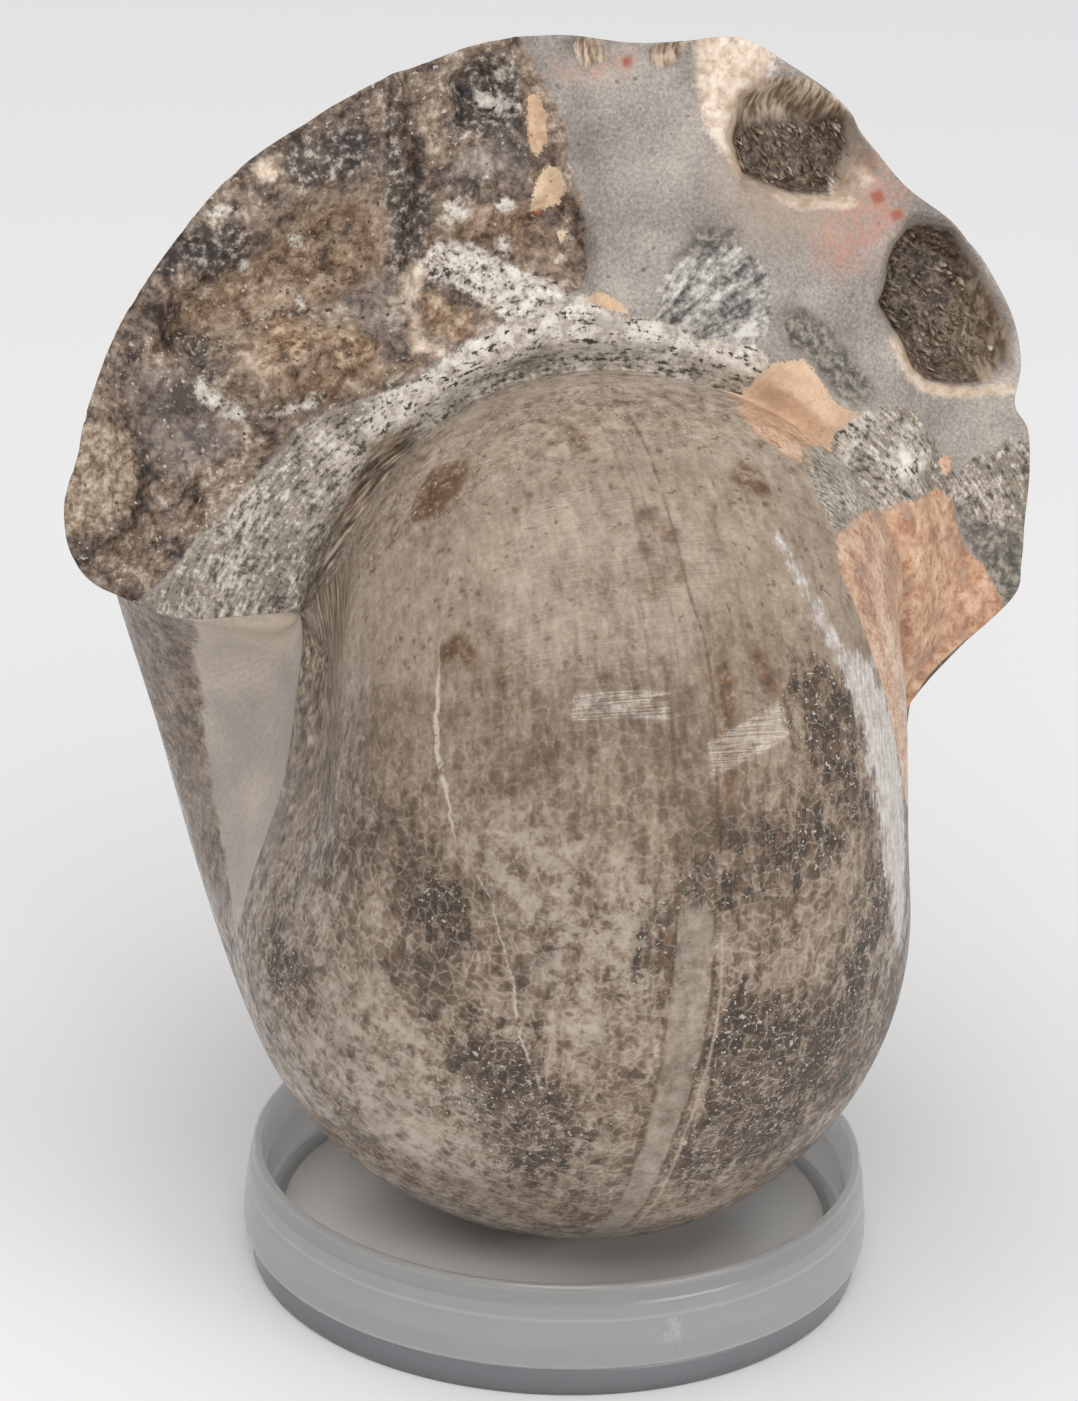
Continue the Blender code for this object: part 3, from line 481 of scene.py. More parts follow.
whorlZones = {
    "field": [((14.5, -4), (16.5, 20), (18, 50), (20, 80), (22.6, 110), (25, 140), (28, 158), (33, 140),
        (42, 110), (62, 60), (76, 20), (82, -4))],
    # white on the right flank: partly white stone, partly painted sheen of the light
    "white": [((106, 309), (108.5, 303), (110.5, 298), (113, 293), (115.5, 289.5), (118, 290), (121, 289),
        (124, 284), (127, 277), (129.5, 268), (131, 255), (132, 240), (130, 228), (127, 232), (124.5, 245),
        (121, 258), (119, 268), (117, 279), (113.5, 288), (109.5, 296), (107, 303))],
    "pepper": [((119, 313), (117, 318), (116, 325), (119, 332), (120, 337), (124, 344), (127, 362),
        (140, 362), (138, 342), (131, 330), (126, 322)), ((20, 352), (33, 349), (45, 352), (60, 356),
        (75, 357), (92, 356), (97, 352), (104, 349), (108, 353), (109, 364), (20, 364))],
    "orange": [((108.5, 347), (109, 364), (127, 364), (124, 345), (119, 338), (117, 333), (115, 328),
        (112, 329), (109, 333), (107.5, 338)), ((118, 311), (123, 317), (127, 323), (132, 331), (137, 338),
        (142, 364), (185, 364), (185, 286), (160, 262), (146, 252), (138, 254), (132, 262), (128, 273),
        (124, 285), (121, 293), (117, 305))],
    "cream": [((-5, -4), (14.3, -4), (16.3, 20), (17.8, 50), (19.8, 80), (22.4, 110), (24.8, 140),
        (27.8, 163), (26, 171), (21, 173), (15, 171), (9, 168), (-5, 164))],
    "stripes": [((8, 150), (24, 150), (21.5, 200), (19, 235), (19.5, 262), (23, 285), (27, 305), (31, 325),
        (36, 345), (42, 362), (10, 362), (6, 250))],
    "mottle": [((58, 232), (61, 236), (66, 234), (72, 231), (77, 224), (76, 212), (70, 208), (63, 214),
        (58, 222)), ((90.5, 244), (96, 245), (102, 238), (107, 232), (106, 222), (100, 212), (94, 208),
        (89.5, 214), (90, 230)), ((100, 222), (106, 228), (113, 240), (119, 252), (124, 256), (125, 246),
        (119, 238), (112, 226), (106, 215), (100, 211)), ((100, 267), (104, 270), (110, 267), (113, 262),
        (108, 258), (103, 259), (99.5, 262)), ((103, 281), (108, 288), (114, 286), (117, 276), (115, 262),
        (111, 268), (106, 274)), ((29, 216), (34, 218), (37, 210), (35, 203), (30, 203)), ((52, 256),
        (56, 255), (57, 249), (54, 247), (51, 250)), ((53, 329), (56, 335), (60, 336), (62, 332), (61, 328),
        (57, 326.5)), ((84, 257.6), (86, 260.5), (93, 261), (95, 258.6), (91, 256.4), (86, 256.6)),
        ((83, 244), (82.6, 257), (85, 257), (85, 244))],
    "rust": [((52, 329), (56, 338), (59, 340), (62, 336.4), (64.6, 336), (64, 331), (60, 326), (55, 325.4)),
        ((79, 325.6), (79, 333.4), (81.2, 333.4), (81.6, 325.6)), ((100.4, 318), (103, 323), (106, 322),
        (108.6, 317), (105, 315)), ((97.6, 291), (99, 291), (101.8, 284.6), (101, 282), (98.6, 285.6)),
        ((61.6, 289), (63, 291), (64.6, 288.4), (63, 286.4)), ((52.6, 292), (53.4, 297), (57, 299),
        (59.6, 295), (58.6, 291), (56.4, 294)), ((84, 298), (86.6, 298), (87, 301), (84.6, 302)),
        ((88, 300), (90.6, 300), (90.4, 303), (88.4, 303.4)), ((84.4, 304), (86.8, 304.6), (86.6, 307.6),
        (84.4, 307)), ((87.8, 306), (90.4, 306), (90.2, 309), (88, 309)), ((85, 310), (89, 310.6),
        (88.4, 313), (85.6, 313)), ((92, 268), (92, 287), (94.6, 292), (95, 284), (93.6, 268))],
    "paleNet": [((54, 268), (66, 270), (76, 264), (83, 258), (83, 243), (76, 233), (71, 236), (66, 250),
        (59, 258)), ((60, 226), (66, 215), (72, 206), (60, 200), (42, 205), (40, 225), (48, 236))],
}
sheetScale = 0.6                # millimetres for a degree on the smaller whorl
zoneReach = 9.0                 # distances to a zone's edge are cut off there


def zoneValues(skin):
    # distance inside each zone: from the face's shapes on the face, from the whorl's elsewhere
    rows = skin["bodyRows"]
    onlyFace = np.concatenate([skin["flat"][:1], skin["flat"][rows - 1:]])
    result = {}
    for name in dict.fromkeys([*faceZones, *whorlZones]):
        value = np.full(skin["points"].shape[:2], -zoneReach)
        if name in faceZones:
            inside = np.max([edgeDistance(onlyFace, shape) for shape in faceZones[name]], 0)
            value[rows - 1:] = inside[1:]
            value[0] = inside[0]
        if name in whorlZones:
            inside = sheetScale * np.max([edgeDistance(skin["sheet"], shape) for shape in whorlZones[name]], 0)
            value[1:rows - 1] = inside[1:-1]
            value[rows - 1] = np.maximum(value[rows - 1], inside[-1])
            value[0] = np.maximum(value[0], inside[0])
        result[name] = np.clip(value, -zoneReach, zoneReach)
    return result


def makeStone(materials):
    # one closed skin: quads between rows and columns, the first and last column drawn in to a point
    skin = stoneSkin()
    rows, columns = skin["points"].shape[:2]

    def gathered(values):
        # the two end points' values, then the rest row by row
        rest = values[:, 1:-1].reshape(-1, *values.shape[2:])
        return np.concatenate([values[0, :1], values[0, -1:], rest])

    def corners(table):
        # quads, and the triangles round the left and the right point
        a, b = table[:, :-1], table[:, 1:]
        c, d = np.roll(b, -1, 0), np.roll(a, -1, 0)
        quads = np.stack([a, b, c, d], -1)
        return quads[:, 1:-1].reshape(-1, 4), quads[:, 0, [0, 1, 2]], quads[:, -1, [0, 1, 3]]

    index = np.zeros((rows, columns), int)
    index[:, -1] = 1
    index[:, 1:-1] = 2 + np.arange(rows * (columns - 2)).reshape(rows, columns - 2)
    places = corners(np.arange(rows * columns).reshape(rows, columns))
    onBroken = np.concatenate([table[:, 0] // columns for table in places]) >= skin["bodyRows"] - 1
    mesh = newPiece("ammoniteStone", gathered(skin["points"]), corners(index), materials,
                    "ammonite", onBroken)

    # flow of growth: column and back on the whorl, way round and way out on the face
    whorl = np.zeros((rows, columns, 2))
    whorl[:skin["bodyRows"]] = skin["sheet"]
    angle = np.degrees(np.arctan2(skin["flat"][..., 1], -skin["flat"][..., 0]))
    around = np.stack([angle * sheetScale, np.linalg.norm(skin["flat"], axis=-1)], -1)
    placeOf = np.concatenate([table.ravel() for table in places])
    broken = np.repeat(onBroken, faceSizes(places))[:, None]
    for name, onSurface, elsewhere in (("flow", around, whorl), ("flat", skin["flat"], np.zeros_like(whorl))):
        values = np.where(broken, onSurface.reshape(-1, 2)[placeOf], elsewhere.reshape(-1, 2)[placeOf])
        mesh.uv_layers.new(name=name).data.foreach_set("uv", values.ravel())
    for name, values in zoneValues(skin).items():
        keep(mesh, name, gathered(values))
    mesh.update()


# Crystals

crystalBeds = {
    "upperPocketCrystals": {
        "node": "upper_pocket_crystals", "finish": "smokyCrystal", "spacing": 0.46, "outline": (
            (14.8, 54.0), (14.9, 51.6), (16, 50), (19, 49), (25, 49), (26.4, 51), (26, 54), (24.6, 56.0),
            (22.6, 55.4), (20.4, 56.2), (18.6, 55.2), (16.6, 55.6)),
        "length": (0.5, 1.8), "width": (0.12, 0.32), "sink": 0.4, "splay": 0.45, "share": 0.95,
        "lean": (0.1, -0.7), "seed": 5, "least": 0.12, "shade": 0.56, "spread": 0.40,
        "tones": (                      # across, out, reach and how much paler there
            (22.8, 52.6, 2.0, -0.26), (17.8, 53.0, 1.9, -0.24), (20.2, 54.0, 1.1, 0.10),
            (18.5, 49.9, 1.0, 0.25), (21.5, 49.2, 1.0, 0.38), (24.2, 49.8, 0.9, 0.38),
            (20.8, 51.3, 0.5, 0.55), (23.2, 56.2, 1.5, 0.35), (18.5, 56.4, 1.8, 0.34),
            (15.2, 53.5, 0.8, 0.30))},
    "sidePocketCrystals": {
        "node": "side_pocket_crystals", "finish": "smokyCrystal", "spacing": 0.52,
        "outline": faceForms["sidePocket"][2],
        "length": (0.5, 1.8), "width": (0.12, 0.36), "sink": 0.4, "splay": 0.5, "share": 0.95,
        "lean": (0.35, -0.4), "seed": 9, "least": 0.05, "shade": 0.50, "spread": 0.44,
        "tones": (
            (30.2, 40.0, 2.0, -0.26), (31.5, 36.0, 1.6, -0.26), (32.0, 43.2, 1.8, -0.10),
            (33.0, 36.8, 0.6, 0.50), (33.0, 34.9, 0.5, 0.50), (35.0, 41.4, 0.7, 0.38),
            (37.4, 39.4, 1.4, 0.22), (33.0, 32.4, 0.9, 0.30), (39.4, 33.6, 0.7, 0.45),
            (36.5, 35.0, 1.6, -0.06))},
    "troughCrystals": {
        "node": "left_hollow_crystals", "finish": "brownCrystal", "spacing": 0.50,
        "outline": faceForms["trough"][2],
        "length": (0.3, 0.7), "width": (0.10, 0.26), "sink": 0.2, "splay": 1.0, "share": 0.5,
        "lean": (0.0, 0.0), "seed": 13, "least": 0.36, "shade": 0.50, "spread": 0.4,
        "tones": ((-22.0, 42.5, 2.4, -0.22), (-32.0, 42.5, 3.0, 0.12), (-27.5, 47.0, 2.0, 0.08),
                  (-26.5, 44.0, 1.0, 0.10))},
    "fieldCrystals": {
        "node": "left_hollow_crystals", "finish": "brownCrystal", "spacing": 0.80,
        "outline": faceForms["crystalField"][2],
        "length": (0.25, 0.6), "width": (0.10, 0.24), "sink": 0.2, "splay": 1.0, "share": 0.3,
        "lean": (0.0, 0.0), "seed": 17, "least": 0.26, "shade": 0.44, "spread": 0.7,
        "tones": ((-16.0, 48.0, 2.5, -0.25), (-33.5, 46.0, 3.0, -0.18), (-24.0, 54.0, 3.0, -0.12))},
}


crystalRules = {
    "rimGap": 0.9, "edgeGap": 0.25, "troughGap": 0.2,   # least distances from outlines
    "footShare": 0.6,                   # how far out of the seam the relief is read
    "lengthPower": 1.5, "widthPower": 1.6,      # above 1 makes most of them small
    "shoulder": (0.5, 0.2), "shoulderWidth": 0.86, "flatSide": 0.82,
    "secondDraw": 57.0,                 # cells' shift for four more random numbers
}


def makeCrystals(name, bed, material):
    # six-sided spikes: a foot ring, a shoulder ring part of the way up and a point, on jittered places
    rules = crystalRules
    corners = np.array(bed["outline"], float)
    low, high = corners.min(0), corners.max(0)
    steps = ((high - low) / bed["spacing"]).astype(int) + 1
    cells = np.stack(np.meshgrid(np.arange(steps[0]), np.arange(steps[1])), -1).reshape(-1, 2).astype(float)
    roll = dice(cells, bed["seed"])
    more = dice(cells + rules["secondDraw"], bed["seed"])
    flat = low + (cells + roll[:, :2]) * bed["spacing"]
    rim = linePoints(coil["outline"], np.degrees(np.arctan2(flat[:, 1], -flat[:, 0])))
    fromRim = np.linalg.norm(rim, axis=-1) - np.linalg.norm(flat, axis=-1)
    chosen = (edgeDistance(flat, corners) > rules["edgeGap"]) & (fromRim > rules["rimGap"])
    chosen &= roll[:, 3] < bed["share"]
    if name == "fieldCrystals":
        chosen &= edgeDistance(flat, faceForms["trough"][2]) < rules["troughGap"]
    flat, roll, more = flat[chosen], roll[chosen], more[chosen]
    count = len(flat)
    relief = faceRelief(flat, np.full(count, rules["footShare"]))
    foot = onFace(flat) + (relief - bed["sink"])[:, None] * faceNormal
    outUp = outward(np.array(0.0))
    tilt = np.array(bed["lean"]) + bed["splay"] * (2 * more[:, :2] - 1)
    way = faceNormal + tilt[:, :1] * axis + tilt[:, 1:] * outUp
    way /= np.linalg.norm(way, axis=1, keepdims=True)
    side = np.cross(way, axis + 0.3 * outUp)
    side /= np.linalg.norm(side, axis=1, keepdims=True)
    cross = np.cross(way, side)
    (shortest, longest), (thinnest, thickest) = bed["length"], bed["width"]
    lengths = shortest + (longest - shortest) * roll[:, 2:3] ** rules["lengthPower"]
    widths = thinnest + (thickest - thinnest) * more[:, 2:3] ** rules["widthPower"]
    turn = more[:, 3:4] * math.pi + np.arange(6) * math.pi / 3
    ringRadius = (widths * np.where(np.arange(6) % 2, rules["flatSide"], 1.0))[..., None]
    ring = ringRadius * (np.cos(turn)[..., None] * side[:, None] + np.sin(turn)[..., None] * cross[:, None])
    shoulder = rules["shoulder"][0] + rules["shoulder"][1] * more[:, 1:2, None]
    foot, spine = foot[:, None], (way * lengths)[:, None]
    shoulderRing = ring * rules["shoulderWidth"] + spine * shoulder
    points = np.concatenate([foot + ring, foot + shoulderRing, foot + spine], 1)
    each = points.shape[1]
    k = np.arange(6)
    n = (k + 1) % 6
    start = np.arange(count)[:, None, None] * each
    spike = k[None, ::-1], np.stack([k, n, n + 6, k + 6], -1), np.stack([k + 6, n + 6, np.full(6, 12)], -1)
    faces = [(start + table).reshape(-1, table.shape[1]) for table in spike]
    mesh = newPiece(name, points.reshape(-1, 3), faces, [material], bed["node"])
    shade = bed["shade"] + bed["spread"] * (roll[:, 2] - 0.5)
    for across, out, reach, paler in bed["tones"]:
        away = (flat - (across, out)) / reach
        shade = shade + paler * np.exp(-(away ** 2).sum(-1))
    keep(mesh, "shade", np.repeat(np.maximum(shade, bed["least"]), each))
    print(name, count, "crystals")


# The dish

dishForm = {
    "outside": ((0.0, 28.9), (0.4, 29.15), (2.6, 29.2), (2.9, 29.0), (3.2, 29.85), (3.7, 30.0),
                (5.6, 29.95), (9.5, 29.5), (9.8, 29.3), (11.1, 29.2), (11.5, 28.95)),   # height, radius
    "inside": ((11.55, 28.65), (11.3, 28.4), (8.2, 28.2), (7.9, 27.9), (4.9, 27.6), (4.2, 27.0)),
    "floor": 4.10, "under": 2.8, "floorEdge": 26.2, "footInside": 27.3, "footDraft": 0.3,
    "plateRings": (9.0, 18.0),
    "rounding": 0.12, "cornerShare": 0.4, "cornerPull": 0.28, "sides": 240,
    "scuffAt": (13.4, 6.6), "scuffSize": (1.0, 1.8),        # across and height, and half sizes
}


def makeDish(materials):
    # a profile of radius and height, its corners cut round, carried round the upright axis
    d = dishForm
    outline = [(d["floorEdge"], d["floor"])]
    outline += [(radius, height) for height, radius in (*reversed(d["inside"]), *reversed(d["outside"]))]
    outline += [(d["footInside"], 0.0), (d["footInside"] - d["footDraft"], d["under"])]
    outline = np.array(outline)
    before, after = np.roll(outline, 1, 0), np.roll(outline, -1, 0)
    before[0] = (0.0, d["floor"])
    after[-1] = (0.0, d["under"])
    cuts = []
    for beside in (before - outline, after - outline):
        share = np.minimum(d["rounding"] / np.linalg.norm(beside, axis=1), d["cornerShare"])
        cuts.append(share[:, None] * beside)
    rounded = np.stack([outline + cuts[0], outline + sum(cuts) * d["cornerPull"], outline + cuts[1]], 1)
    rings = d["plateRings"]
    profile = np.concatenate([[(ring, d["floor"]) for ring in rings], rounded.reshape(-1, 2),
                              [(ring, d["under"]) for ring in reversed(rings)]])
    sides, rows = d["sides"], len(profile)
    turn = np.arange(sides) / sides * 2 * math.pi
    circle = np.stack([np.cos(turn), np.sin(turn)], -1)
    across = profile[:, None, :1] * circle + coil["stand"]
    height = np.broadcast_to(profile[:, None, 1:], (rows, sides, 1))
    poles = [(*coil["stand"], d["floor"]), (*coil["stand"], d["under"])]
    points = np.concatenate([np.concatenate([across, height], -1).reshape(-1, 3), poles])
    index = np.arange(rows * sides).reshape(rows, sides)
    beside = np.roll(index, -1, 1)
    faces = [np.stack([index[:-1], index[1:], beside[1:], beside[:-1]], -1).reshape(-1, 4),
             np.stack([np.full(sides, rows * sides), index[0], beside[0]], -1),
             np.stack([np.full(sides, rows * sides + 1), beside[-1], index[-1]], -1)]
    rowOf = np.concatenate([np.repeat(np.arange(rows - 1), sides), np.zeros(2 * sides)])
    plate = (rowOf < len(rings)) | (rowOf >= rows - len(rings) - 2)
    newPiece("clearDish", points, faces, materials, "dish", plate)


# Shader sums

def tone(red, green, blue):
    # a colour as it looks on a screen, 0 to 255, turned to light
    parts = [c / 255.0 for c in (red, green, blue)]
    return tuple(c / 12.92 if c <= 0.04045 else ((c + 0.055) / 1.055) ** 2.4 for c in parts) + (1.0,)


class Wire:
    # wraps one socket, so that sums on it are written as plain expressions

    def __init__(self, tree, socket=None):
        self.tree = tree
        self.socket = socket

    def node(self, kind, settings=None, values=None, out=0):
        # adds a node: settings first, then the values or links of its sockets
        made = self.tree.nodes.new(kind)
        for key, value in (settings or {}).items():
            if key == "stops":
                for _ in value[2:]:
                    made.color_ramp.elements.new(0.5)
                for element, (place, *colour) in zip(made.color_ramp.elements, value):
                    element.position = place
                    element.color = tone(*colour)
            elif key == "curve":
                line = made.mapping.curves[0]
                for _ in value[2:]:
                    line.points.new(0.5, 0.5)
                for point, spot in zip(line.points, value):
                    point.location = spot
                made.mapping.update()
            else:
                setattr(made, key, value)
        for key, value in (values or {}).items():
            if isinstance(value, Wire):
                self.tree.links.new(value.socket, made.inputs[key])
            else:
                made.inputs[key].default_value = value
        if isinstance(out, tuple):
            return [Wire(self.tree, made.outputs[name]) for name in out]
        return Wire(self.tree, made.outputs[out])

    def math(self, operation, *values):
        return self.node("ShaderNodeMath", {"operation": operation}, dict(enumerate(values)))

    def __add__(self, other):
        return self.math("ADD", self, other)

    __radd__ = __add__

    def __sub__(self, other):
        return self.math("SUBTRACT", self, other)

    def __rsub__(self, other):
        return self.math("SUBTRACT", other, self)

    def __mul__(self, other):
        return self.math("MULTIPLY", self, other)

    __rmul__ = __mul__

    def __truediv__(self, other):
        return self.math("DIVIDE", self, other)

    def __abs__(self):
        return self.math("ABSOLUTE", self)

    def squared(self):
        return self * self

    def most(self, other):
        return self.math("MAXIMUM", self, other)

    def least(self, other):
        return self.math("MINIMUM", self, other)

    def step(self, start, end):
        # eased from 0 at start to 1 at end, whichever of the two is higher
        return self.node("ShaderNodeMapRange", {"interpolation_type": "SMOOTHSTEP"},
                         {"Value": self, "From Min": start, "From Max": end})

    def mix(self, under, over):
        # the colour under, covered by the colour over, a wire or a tone, as far as this mask says
        over = over if isinstance(over, Wire) else tone(*over)
        return self.node("ShaderNodeMix", {"data_type": "RGBA"}, {0: self, 6: under, 7: over}, 2)

    def ramp(self, *stops):
        # colours along this, each stop a place and its red, green and blue
        return self.node("ShaderNodeValToRGB", {"stops": stops}, {0: self})

    def along(self, *points):
        # a number read off a curve through points from 0 to 1
        return self.node("ShaderNodeFloatCurve", {"curve": points}, {"Value": self})

    def vector(self, operation, *values, out=0):
        return self.node("ShaderNodeVectorMath", {"operation": operation}, dict(enumerate(values)), out)

    def parts(self):
        return self.node("ShaderNodeSeparateXYZ", None, {0: self}, ("X", "Y", "Z"))

    def scaled(self, *factors):
        return self.vector("MULTIPLY", self, factors)

    def grain(self, size, detail=2.0, rough=0.5, shift=0.0, out=0, sides="3D"):
        # cloudy noise of that size, about 0 to 1, read at this place
        place = self.vector("ADD", self, (shift, -shift, 2 * shift)) if shift else self
        return self.node("ShaderNodeTexNoise", {"noise_dimensions": sides},
                         {"Vector": place, "Scale": 1.0 / size, "Detail": detail, "Roughness": rough}, out)

    def streaks(self, across, along, rough, shift=0.0, size=1.0):
        # cloudy noise on a flat map that those factors squeeze
        return self.scaled(across, along, 1.0).grain(size, 2.0, rough, shift, sides="2D")

    def bent(self, size, amount):
        # this place, pushed about by cloudy noise
        push = self.grain(size, out=1)
        back = self.vector("SUBTRACT", self, (amount / 2,) * 3)
        return self.vector("MULTIPLY_ADD", push, (amount,) * 3, back)

    def cells(self, size, feature="F1", out="Distance"):
        return self.node("ShaderNodeTexVoronoi", {"feature": feature},
                         {"Vector": self, "Scale": 1.0 / size}, out)

    def facets(self, size):
        # height of small tilted planes, one to a cell
        colour, middle = self.cells(size, out=("Color", "Position"))
        away = self.vector("SUBTRACT", self, middle)
        slope = self.vector("SUBTRACT", colour, (0.5, 0.5, 0.5))
        return self.vector("DOT_PRODUCT", away, slope, out="Value")

    def red(self):
        return self.node("ShaderNodeSeparateColor", None, {0: self}, "Red")

    def kept(self, name):
        # the number that a piece keeps at each point
        return self.node("ShaderNodeAttribute", {"attribute_name": name}, out="Fac")

    def zone(self, name, soft, wander=0.0, reach=0.0):
        # 1 inside a zone, its edge moved by wander and drawn in by reach, in millimetres
        return (self.kept(name) + wander).step(reach - soft, reach + soft)

    def bumped(self, distance):
        return self.node("ShaderNodeBump", None, {"Height": self, "Distance": distance * mm})


def newMaterial(name, constants):
    # a Principled shader with its even values set on its own sockets
    material = bpy.data.materials.new(name)
    material.use_nodes = True
    shader = material.node_tree.nodes["Principled BSDF"]
    for key, value in constants.items():
        shader.inputs[key].default_value = value
    return material, shader, Wire(material.node_tree)


def connect(shader, **links):
    for key, wire in links.items():
        wire.tree.links.new(wire.socket, shader.inputs[key.replace("_", " ")])


def objectPlace(wire):
    # the place on the object in millimetres
    return wire.node("ShaderNodeTexCoord", out="Object").scaled(1000.0, 1000.0, 1000.0)


def flatPlace(wire, name):
    return wire.node("ShaderNodeUVMap", {"uv_map": name}, out="UV")


def layered(colour, wander, finish, layers):
    # zones laid over a colour in turn: name, strength, and the noise that picks its tones or a colour
    for name, strength, noise in layers:
        moved, soft, *stops = finish[name]
        over = noise.ramp(*stops) if stops else noise
        colour = (wander.zone(name, soft, wander * moved) * strength).mix(colour, over)
    return colour


# The stone's finishes

sharedTones = {
    # a place along its noise, and red, green and blue there
    "orange": ((0.38, 160, 116, 90), (0.47, 188, 148, 120), (0.55, 206, 170, 142), (0.64, 220, 194, 168)),
    "orangeCloud": (174, 156, 140), "rustSpeck": (150, 98, 72),
    "pepper": ((0.36, 138, 127, 111), (0.5, 162, 151, 137), (0.64, 192, 182, 170)),
    "pepperGrey": (128, 120, 109), "pepperLight": (208, 201, 192), "pepperFleck": (66, 62, 57),
}


def orangeTones(place, chips, crumb):
    # grainy orange calcite with rusty specks and paler clouds
    broad = place.grain(3.2, 2.0, 0.6, 7.0)
    base = (broad * 0.55 + crumb * 0.45).ramp(*sharedTones["orange"])
    clouded = (broad.step(0.44, 0.36) * 0.4).mix(base, sharedTones["orangeCloud"])
    return (chips.step(0.54, 0.62) * 0.6).mix(clouded, sharedTones["rustSpeck"])


def pepperTones(place, flow, broad):
    # pale stone with dark flecks drawn out along the growth
    both = flow.streaks(0.5, 1.8, 0.7) * 0.42 + place.grain(0.55, 3.0, 0.72, 5.0) * 0.58
    grey = both.step(0.52, 0.44).mix(broad.ramp(*sharedTones["pepper"]), sharedTones["pepperGrey"])
    light = both.step(0.53, 0.63).mix(grey, sharedTones["pepperLight"])
    return both.step(0.462, 0.372).mix(light, sharedTones["pepperFleck"]), both


brokenFinish = {
    # noises: size, detail, roughness and shift
    "cloudy": (8.0, 2.0, 0.55, 4.0), "broad": (5.5, 2.0, 0.65, 2.0), "chips": (1.1, 3.0, 0.68, 6.0),
    "crumb": (0.8, 3.0, 0.7), "sand": (0.32, 2.0, 0.7), "spark": (0.6, 2.0, 0.6, 44.0),
    "wander": (1.6, 2.0, 0.6, 21.0),
    # tones: a place along a noise, and red, green and blue there
    "matrix": ((0.36, 122, 115, 109), (0.48, 150, 142, 135), (0.58, 172, 163, 155), (0.68, 192, 182, 172)),
    "speck": (92, 86, 82), "beige": (178, 158, 140), "redCloud": (200, 140, 120),
    "nearPocket": (164, 142, 118),
    "brown": ((0.39, 44, 37, 34), (0.45, 84, 70, 61), (0.50, 118, 100, 86), (0.56, 144, 126, 110),
              (0.63, 190, 178, 163)),
    "sparkle": (214, 204, 192), "pepperLow": (120, 111, 100), "redSpot": (160, 78, 60),
    "orangePale": (228, 202, 172),
    # pockets and pits: dark, partly dark druse and partly painted shade in the recess; their walls pale,
    # partly cream calcite and partly painted light
    "pocket": ((0.4, 66, 57, 50), (0.54, 112, 96, 82), (0.7, 160, 144, 128)),
    "wall": ((0.38, 122, 102, 84), (0.5, 170, 150, 128), (0.6, 206, 188, 168)),
    # zones: how far the edge wanders and how soft it is, and tones where they aren't worked out
    "slate": (1.3, 0.7, (0.38, 66, 64, 58), (0.5, 108, 103, 94), (0.62, 154, 146, 134)),
    "lilac": (1.6, 1.2, (0.4, 104, 94, 88), (0.6, 160, 149, 142)),
    "tan": (1.0, 0.5, (0.36, 116, 94, 76), (0.5, 162, 142, 120), (0.62, 196, 180, 160)),
    "golden": (1.5, 1.0,
               (0.38, 78, 58, 44), (0.46, 130, 104, 82), (0.54, 164, 139, 113), (0.64, 204, 187, 164)),
    "amber": (1.0, 0.4, (0.38, 92, 68, 50), (0.5, 148, 120, 92), (0.64, 204, 182, 154)),
    # black: dark stone and painted shade in crevices
    "black": (1.8, 0.6, (0.42, 42, 38, 36), (0.54, 86, 78, 73), (0.64, 176, 168, 160)),
    "bright": (1.5, 1.2, (0.38, 180, 170, 158), (0.48, 218, 209, 198), (0.6, 240, 233, 224)),
    "stripes": (1.2, 0.8,
                (0.4, 82, 69, 59), (0.47, 134, 113, 96), (0.54, 162, 141, 122), (0.63, 208, 192, 173)),
    "fan": (1.0, 0.3,
            (0.4, 58, 55, 54), (0.47, 124, 119, 115), (0.53, 166, 161, 155), (0.61, 210, 206, 200)),
    "white": (1.4, 0.4, (0.38, 130, 118, 106), (0.47, 190, 180, 168), (0.58, 226, 220, 212)),
    "cream": (1.0, 0.5, (0.36, 190, 166, 144), (0.5, 226, 206, 185), (0.64, 244, 230, 214)),
    "orange": (1.6, 0.1), "spots": (1.0, 0.25), "hollow": (1.0, 0.3),
}


